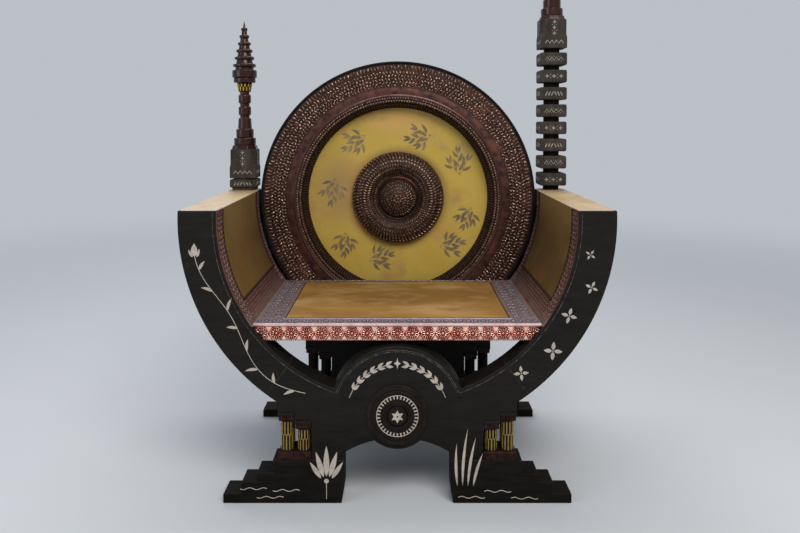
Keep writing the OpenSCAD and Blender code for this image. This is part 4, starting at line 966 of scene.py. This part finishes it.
# rings of studs on the dome
def domeStuds():
    ball = (boss["domeReach"] ** 2 + boss["domeCrown"] ** 2) / (2 * boss["domeCrown"])
    rings = [stud(*boss["eye"], onFront(boss["apex"], 0, bowZ), sides=8, rings=6)]
    for radius, count in boss["domeRings"]:
        y = boss["apex"] + ball - math.sqrt(ball ** 2 - radius ** 2)
        shape = stud(*boss["domeStud"], onDisc(radius * boss["domeTwist"], radius, y)
                     @ Matrix.Rotation(-math.asin(radius / ball), 4, "X") @ spin(boss["domeSkew"]))
        rings.append(ringArray(shape, count, disc))
    return joined(rings)


keepPiece(bossRows(), "boss_studs", "bossCopper")
keepPiece(domeStuds(), "dome_studs", "bossCopper")
keepArc("boss_edge", "armStud")
keepArc("boss_cove", "cove")
softCopy("back_boss", "bossGround")
softCopy("back_dome", "bossGround")
softCopy("back_rails", "ebony", back["railEase"], shortest=0.006)
nodeFinish("screw", "wood_screws")
nodeFinish("dowel", "dowels")
print("round back done")


# posts and finials
posts = {
    "half": 0.038, "ease": 0.0011, "shortest": 0.0026, "finialEase": 0.0009, "blockHigh": 0.084,
    "blocks": ((-1, 0.7115), (1, 1.0934)), "plates": 8, "plateStart": 0.6894, "plateStep": 0.0505,
    "plateHigh": 0.037, "leftPlateZ": 0.69575, "markThick": 0.0004,
    "collarLow": 0.171, "collarR": (0.0176, 0.0215), "collarHigh": 0.026, "tongues": 12,
    "tongue": (0.0026, 0.007, 0.0013), "tongueUp": 0.0074, "tongueRise": 0.0112,
    "tongueIn": 0.0002, "tongueLean": 8,
}
for name in ("left_plate", "left_block", "right_plates", "right_block"):
    softCopy(name, "post", posts["ease"], shortest=posts["shortest"])
softCopy("right_rod", "stripeGround")
for name in ("finial_stems", "finial_crowns"):
    softCopy(name, "turned", posts["finialEase"], corner=30)
softCopy("finial_collars", "stripeGround")


def postAxis(sign):
    return sign * throne["postX"], throne["postY"], 0


tongues = []
lowR, topR = posts["collarR"]
for sign, blockZ in posts["blocks"]:
    low = blockZ + posts["blockHigh"] + posts["collarLow"]
    axis = postAxis(sign)
    for row in (0, 1):
        up = posts["tongueUp"] + posts["tongueRise"] * row
        radius = lowR + (topR - lowR) * up / posts["collarHigh"]
        tongue = stud(*posts["tongue"], turnAbout(180 / posts["tongues"] * row, axis, "Z")
                      @ onFront(axis[1] - radius + posts["tongueIn"], axis[0], low + up)
                      @ spin(posts["tongueLean"], "X"), rings=6)
        tongues.append(ringArray(tongue, posts["tongues"], axis, "Z"))
keepPiece(joined(tongues), "collar_tongues", "collarBrass")

# inlaid marks on the four sides of the plates and blocks
marks = {
    "chainX": (-0.0205, 0, 0.0205), "chainHalf": 0.0072, "chainDotX": (-0.0103, 0.0103),
    "chainDotZ": (-0.005, 0.005), "chainDot": 0.0016, "zigzag": (0.027, 0.005, 4, 0.003),
    "toothStep": 0.00675, "toothHigh": 0.0062, "toothDot": 0.0013, "strokeOut": 0.0035, "strokeZ": -0.0072,
    "strokeX": (-0.0215, -0.013, -0.0045, 0.0045, 0.013, 0.0215), "strokeLean": 26,
    "strokeSize": (0.016, 0.004), "strokeSquash": 0.8, "blockZ": (0.033, 0.0165, 0.0),
    "blockHalf": (0.006, 0.0078), "blockDotX": (-0.0062, 0.0062), "blockDotZ": (0.0248, 0.0083),
    "blockDot": 0.0015, "blockZigzag": (0.027, 0.0044, 4, 0.0032, -0.0245),
}
faces = []


def postMarks(sign, z, outlines):
    axis = postAxis(sign)
    face = flatInlay(outlines, posts["markThick"], onFront(axis[1] - posts["half"], axis[0], z))
    faces.append(ringArray(face, 4, axis, "Z"))


# a band cut in a zigzag, with its half length, half height and line width
def zigzag(half, high, teeth, wide, z=0.0):
    upper = [(-half + half * i / teeth, z + (high if i % 2 else -high)) for i in range(2 * teeth + 1)]
    return [(u, v + wide / 2) for u, v in upper] + [(u, v - wide / 2) for u, v in reversed(upper)]


def dots(alongX, alongZ, radius):
    return [roundOutline((x, z), radius, steps=8) for x in alongX for z in alongZ]


chainMarks = [lozenge((x, 0), marks["chainHalf"], marks["chainHalf"]) for x in marks["chainX"]]
chainMarks += dots(marks["chainDotX"], marks["chainDotZ"], marks["chainDot"])
zigzagMarks = [zigzag(*marks["zigzag"])]
for i in range(-3, 4):
    spot = (marks["toothStep"] * i, -marks["toothHigh"] if i % 2 else marks["toothHigh"])
    zigzagMarks.append(roundOutline(spot, marks["toothDot"], steps=8))
strokeMarks = []
for x in marks["strokeX"]:
    sign = 1 if x > 0 else -1
    root = (x + sign * marks["strokeOut"], marks["strokeZ"])
    strokeMarks.append(leafOutline(root, 90 + sign * marks["strokeLean"], *marks["strokeSize"]))
plateMarks = (chainMarks, zigzagMarks, strokeMarks)
for i in range(posts["plates"]):
    postMarks(1, posts["plateStart"] + i * posts["plateStep"] + posts["plateHigh"] / 2, plateMarks[i % 3])
lowMarks = [[(u, v * marks["strokeSquash"]) for u, v in line] for line in strokeMarks]
postMarks(-1, posts["leftPlateZ"], lowMarks)
blockMarks = [lozenge((0, z), *marks["blockHalf"]) for z in marks["blockZ"]]
blockMarks += dots(marks["blockDotX"], marks["blockDotZ"], marks["blockDot"])
blockMarks.append(zigzag(*marks["blockZigzag"]))
for sign, blockZ in posts["blocks"]:
    postMarks(sign, blockZ + posts["blockHigh"] / 2, blockMarks)
keepPiece(joined(faces), "post_marks", "postInlay")
print("posts done")


# inlay on the frames
inlay = {"proud": 0.0004, "stem": 0.0009, "lineIn": 0.0082, "lineRadius": 0.0007, "lineSpan": (-5, 141),
         "archInsets": (0.0082, 0.012), "archHalf": 70}


def borderLines(y):
    arc = [polar(a / 2, throne["bowInner"] + inlay["lineIn"]) for a in range(*inlay["lineSpan"])]
    parts = [wire([(sign * u, y, v) for u, v in arc], inlay["lineRadius"]) for sign in (-1, 1)]
    for inset in inlay["archInsets"]:
        half = inlay["archHalf"]
        parts.append(wire(frontCircle(throne["archR"] - inset, y, hubZ, -half, half, half),
                          inlay["lineRadius"]))
    return joined(parts)


keepPiece(borderLines(throne["frontFace"]), "front_border_lines", "line")
keepPiece(borderLines(throne["rearFace"]), "rear_border_lines", "line")

shapes, stems = [], []

# climbing spray on the left bow, with a bud at its tip; pairs are for even and odd leaves
vine = {"radius": 0.453, "sway": 0.015, "waves": 9, "span": (20, 125),
        "leaves": (14, 21, 28, 34, 41, 47, 53, 59), "leans": (-30, 34), "bends": (-16, 16), "leafLong": 0.025,
        "leafMore": 0.003, "leafWide": 0.007, "tip": 10, "bud": (98, 0.03, 0.015, -6), "sepalOut": 0.004,
        "sepalDrop": 0.001, "sepalLean": 96, "sepalOpen": 42, "sepalSize": (0.02, 0.0055), "sepalBend": 18}


def vineAt(angle):
    u, v = polar(angle, vine["radius"] + vine["sway"] * math.sin(math.radians(angle * vine["waves"])))
    return (-u, v)


stems.append([vineAt(a / 2) for a in range(*vine["span"])])
for i, a in enumerate(vine["leaves"]):
    long = vine["leafLong"] + vine["leafMore"] * (i % 3)
    shapes.append(leafOutline(vineAt(a), 90 + a + vine["leans"][i % 2], long, vine["leafWide"],
                              vine["bends"][i % 2]))
tip = vineAt(vine["tip"])
shapes.append(leafOutline(tip, *vine["bud"]))
for side in (-1, 1):
    root = (tip[0] + side * vine["sepalOut"], tip[1] - vine["sepalDrop"])
    shapes.append(leafOutline(root, vine["sepalLean"] - side * vine["sepalOpen"], *vine["sepalSize"],
                              side * vine["sepalBend"]))

# four-petal blossoms on the right bow: angle, radius and size
blossoms = {"spots": ((10, 0.446, 0.01), (19, 0.468, 0.013), (29, 0.448, 0.016), (40, 0.464, 0.019),
                      (51, 0.45, 0.015)), "petalOut": 0.0026, "petalWide": 0.48, "eye": 0.0016}
for a, radius, size in blossoms["spots"]:
    spot = polar(a, radius)
    for petal in range(4):
        turn = petal * 90 + 45 + a
        root = spoke(turn, blossoms["petalOut"], spot)
        shapes.append(leafOutline(root, turn, size, size * blossoms["petalWide"]))
    shapes.append(roundOutline(spot, blossoms["eye"], steps=10))

# laurel over the hub, with a lozenge between its halves
laurel = {"radius": 0.117, "pairs": 6, "first": 13, "step": 9.4, "open": 36, "leaf": (0.018, 0.0068),
          "bend": 14, "stem": (12, 72, 2), "lozengeUp": 0.119, "lozenge": (0.008, 0.013)}


def laurelAt(sign, turn):
    up, out = spoke(turn, laurel["radius"])
    return (sign * out, hubZ + up)


for sign in (-1, 1):
    for i in range(laurel["pairs"]):
        turn = laurel["first"] + i * laurel["step"]
        along = 90 - sign * turn + sign * 90
        for lift in (-1, 1):
            shapes.append(leafOutline(laurelAt(sign, turn), along + lift * laurel["open"], *laurel["leaf"],
                                      -lift * laurel["bend"]))
    stems.append([laurelAt(sign, t) for t in range(*laurel["stem"])])
shapes.append(lozenge((0, hubZ + laurel["lozengeUp"]), *laurel["lozenge"]))

# lily on the left leg, reeds on the right leg, ripples on the feet
lily = {"spot": (-0.163, 0.04), "out": 0.022, "stemZ": (0.01, 0.046), "heartZ": 0.052, "heart": 0.0055,
        "petals": ((56, 0.046, 0.0105), (73, 0.062, 0.0125), (90, 0.072, 0.0135), (107, 0.062, 0.0125),
                   (124, 0.046, 0.0105))}
reeds = {"blades": ((0.138, 97, 0.1), (0.15, 91, 0.135), (0.162, 87, 0.115), (0.174, 80, 0.08)), "z": 0.04,
         "wide": 0.0064, "bend": -6}
ripples = {"spots": ((-1, 0.225, 0.03), (-1, 0.262, 0.014), (-1, 0.3, 0.034), (1, 0.14, 0.014),
                     (1, 0.2, 0.028), (1, 0.262, 0.012)),
           "points": 42, "step": 0.0015, "high": 0.0022, "wave": 0.3}
for angle, long, wide in lily["petals"]:
    shapes.append(leafOutline(spoke(angle, lily["out"], lily["spot"]), angle, long, wide))
stems.append([(lily["spot"][0], z) for z in lily["stemZ"]])
shapes.append(roundOutline((lily["spot"][0], lily["heartZ"]), lily["heart"]))
for x, lean, long in reeds["blades"]:
    shapes.append(leafOutline((x, reeds["z"]), lean, long, reeds["wide"], reeds["bend"]))
for sign, x, z in ripples["spots"]:
    stems.append([(sign * (x + ripples["step"] * i), z + ripples["high"] * math.sin(i * ripples["wave"]))
                  for i in range(ripples["points"])])
motifs = laidInlay(shapes, inlay["proud"], onFront(throne["frontFace"]))
lines = [wire([(u, throne["frontFace"], v) for u, v in line], inlay["stem"]) for line in stems]
keepPiece(joined([motifs] + lines), "frame_motifs", "bone")

# painted sprays on the parchment of the back; roots: angle, radius, lean and length of each spray
# twigs of each root: swing, reach, curl and leaves
sprays = {
    "roots": ((20, 0.196, 96, 0.066), (62, 0.21, 190, 0.062), (118, 0.21, 216, 0.062),
              (163, 0.196, 262, 0.066), (214, 0.19, 268, 0.056), (246, 0.212, 20, 0.06),
              (310, 0.196, 14, 0.06), (352, 0.22, 250, 0.054)),
    "twigs": ((-38, 0.72, 22, 3), (0, 1.0, 2, 5), (40, 0.66, -18, 3)), "twigLift": 0.00004, "twigY": 0.2441,
    "twigRadius": 0.0007, "y": 0.244, "thick": 0.00012, "leafLong": 0.031, "leafLess": 0.0018,
    "leafWide": 0.0092, "leafLean": 46, "leafBend": 16, "leafSteps": 7, "endLeaf": (0.024, 0.008),
}
twigs = []


def sprayTwig(root, lean, curl, long, leaves, depth):
    spots, paint = [root], []
    for i in range(leaves):
        turn = lean + curl * i / leaves
        spots.append(spoke(turn, long / leaves, spots[-1]))
        side = 1 if i % 2 else -1
        size = (sprays["leafLong"] - sprays["leafLess"] * i, sprays["leafWide"])
        paint.append(leafOutline(spots[-1], turn + side * sprays["leafLean"], *size,
                                 -side * sprays["leafBend"], sprays["leafSteps"]))
    paint.append(leafOutline(spots[-1], turn, *sprays["endLeaf"], 0, sprays["leafSteps"]))
    twigs.append(laidInlay(paint, sprays["thick"], onFront(sprays["y"] - depth, 0, bowZ)))
    twigs.append(wire([(x, sprays["twigY"], bowZ + z) for x, z in spots], sprays["twigRadius"]))


for angle, radius, lean, long in sprays["roots"]:
    for i, (swing, reach, curl, leaves) in enumerate(sprays["twigs"]):
        sprayTwig(spoke(angle, radius), lean + swing, curl, long * reach, leaves, sprays["twigLift"] * i)
keepPiece(joined(twigs), "back_sprays", "sprig")
print("inlay done")


# floor, light and camera
stageLook = {"reach": 40.0, "sides": 96, "insets": (29.0, 5.0), "drop": -0.0005, "colour": (0.6, 0.63, 0.67),
             "mottle": 0.985, "air": (0.5, 0.53, 0.57), "near": 0.9, "far": 5.5,
             "sky": (0.8, 0.84, 0.9), "skyPower": 0.32}


# one for rays from the camera and for mirror and clear rays, so that metal shows the plain air too
def seenRays(tree):
    ray = addNode(tree, "LightPath")
    total = ray.outputs["Is Camera Ray"]
    for kind in ("Is Glossy Ray", "Is Transmission Ray"):
        more = addNode(tree, "Math", operation="ADD", use_clamp=True)
        tree.links.new(total, more.inputs[0])
        tree.links.new(ray.outputs[kind], more.inputs[1])
        total = more.outputs[0]
    return total


# the floor fades into the air colour far from the throne, so no wall or edge shows from any side
def makeFloor():
    bpy.ops.mesh.primitive_circle_add(vertices=stageLook["sides"], radius=stageLook["reach"],
                                      fill_type="NGON")
    obj = bpy.context.active_object
    startEdit(obj, "FACE")
    for size in stageLook["insets"]:
        bpy.ops.mesh.inset(thickness=size)
    endEdit()
    settle(obj, move(0, 0, stageLook["drop"]))
    obj.name = "studioFloor"
    dark = tuple(c * stageLook["mottle"] for c in stageLook["colour"])
    mat = makeFinish("floorPaper", dark, stageLook["colour"], (0.8, 0.9), 1.5, bump=0)
    tree = mat.node_tree
    end, skin = tree.nodes["Material Output"], tree.nodes["Principled BSDF"]
    place = addNode(tree, "TexCoord")
    mask = addNode(tree, "Group", {"Near": stageLook["near"], "Far": stageLook["far"]}, node_tree=fade)
    seen = addNode(tree, "Math", operation="MULTIPLY")
    glow = addNode(tree, "Emission", {"Color": (*stageLook["air"], 1)})
    both = addNode(tree, "MixShader")
    tree.links.new(seenRays(tree), seen.inputs[1])
    linkAll(tree, (place, "Object", mask, "Place"), (mask, "Mask", seen, 0), (seen, 0, both, 0),
            (skin, 0, both, 1), (glow, 0, both, 2), (both, 0, end, "Surface"))
    obj.data.materials.append(mat)


makeFloor()


def softLamp(name, spot, aim, size, power, colour):
    data = bpy.data.lights.new(name, "AREA")
    data.shape = "RECTANGLE"
    data.size, data.size_y = size
    data.energy = power
    data.color = colour
    lamp = placed(name, data)
    lamp.location = spot
    lamp.rotation_euler = (Vector(aim) - Vector(spot)).to_track_quat("-Z", "Y").to_euler()


softLamp("keyLight", (0.8, -2.5, 2.9), (0, 0, 0.6), (2.2, 1.6), 90, (1.0, 0.96, 0.91))
softLamp("fillLight", (-3.0, -2.0, 1.6), (0, 0, 0.6), (1.8, 1.8), 26, (0.92, 0.96, 1.0))
softLamp("topLight", (0, 1.0, 3.4), (0, 0.1, 0.6), (2.4, 1.4), 40, (1.0, 0.96, 0.93))
softLamp("backLight", (-1.6, 3.2, 2.9), (0, 0, 0.7), (2.2, 1.6), 30, (0.94, 0.97, 1.0))
world = bpy.data.worlds.new("studioAir")
bpy.context.scene.world = world
world.use_nodes = True
sky = world.node_tree
air = sky.nodes["Background"]
air.inputs["Color"].default_value = (*stageLook["sky"], 1)
air.inputs["Strength"].default_value = stageLook["skyPower"]
plain = addNode(sky, "Background", {"Color": (*stageLook["air"], 1)})
both = addNode(sky, "MixShader")
sky.links.new(seenRays(sky), both.inputs[0])
linkAll(sky, (air, 0, both, 1), (plain, 0, both, 2), (both, 0, sky.nodes["World Output"], "Surface"))

view = {"lens": 32.67, "sensor": 36, "spot": (0.006, -1.9195, 0.8769), "pitch": 1.942, "shift": -0.15}
data = bpy.data.cameras.new("viewpoint")
data.sensor_width = view["sensor"]
data.lens = view["lens"]
data.shift_y = view["shift"]
viewpoint = placed("viewpoint", data)
viewpoint.location = view["spot"]
viewpoint.rotation_euler = (math.radians(90 - view["pitch"]), 0, 0)
bpy.context.scene.camera = viewpoint
bpy.context.scene.view_settings.view_transform = "Standard"
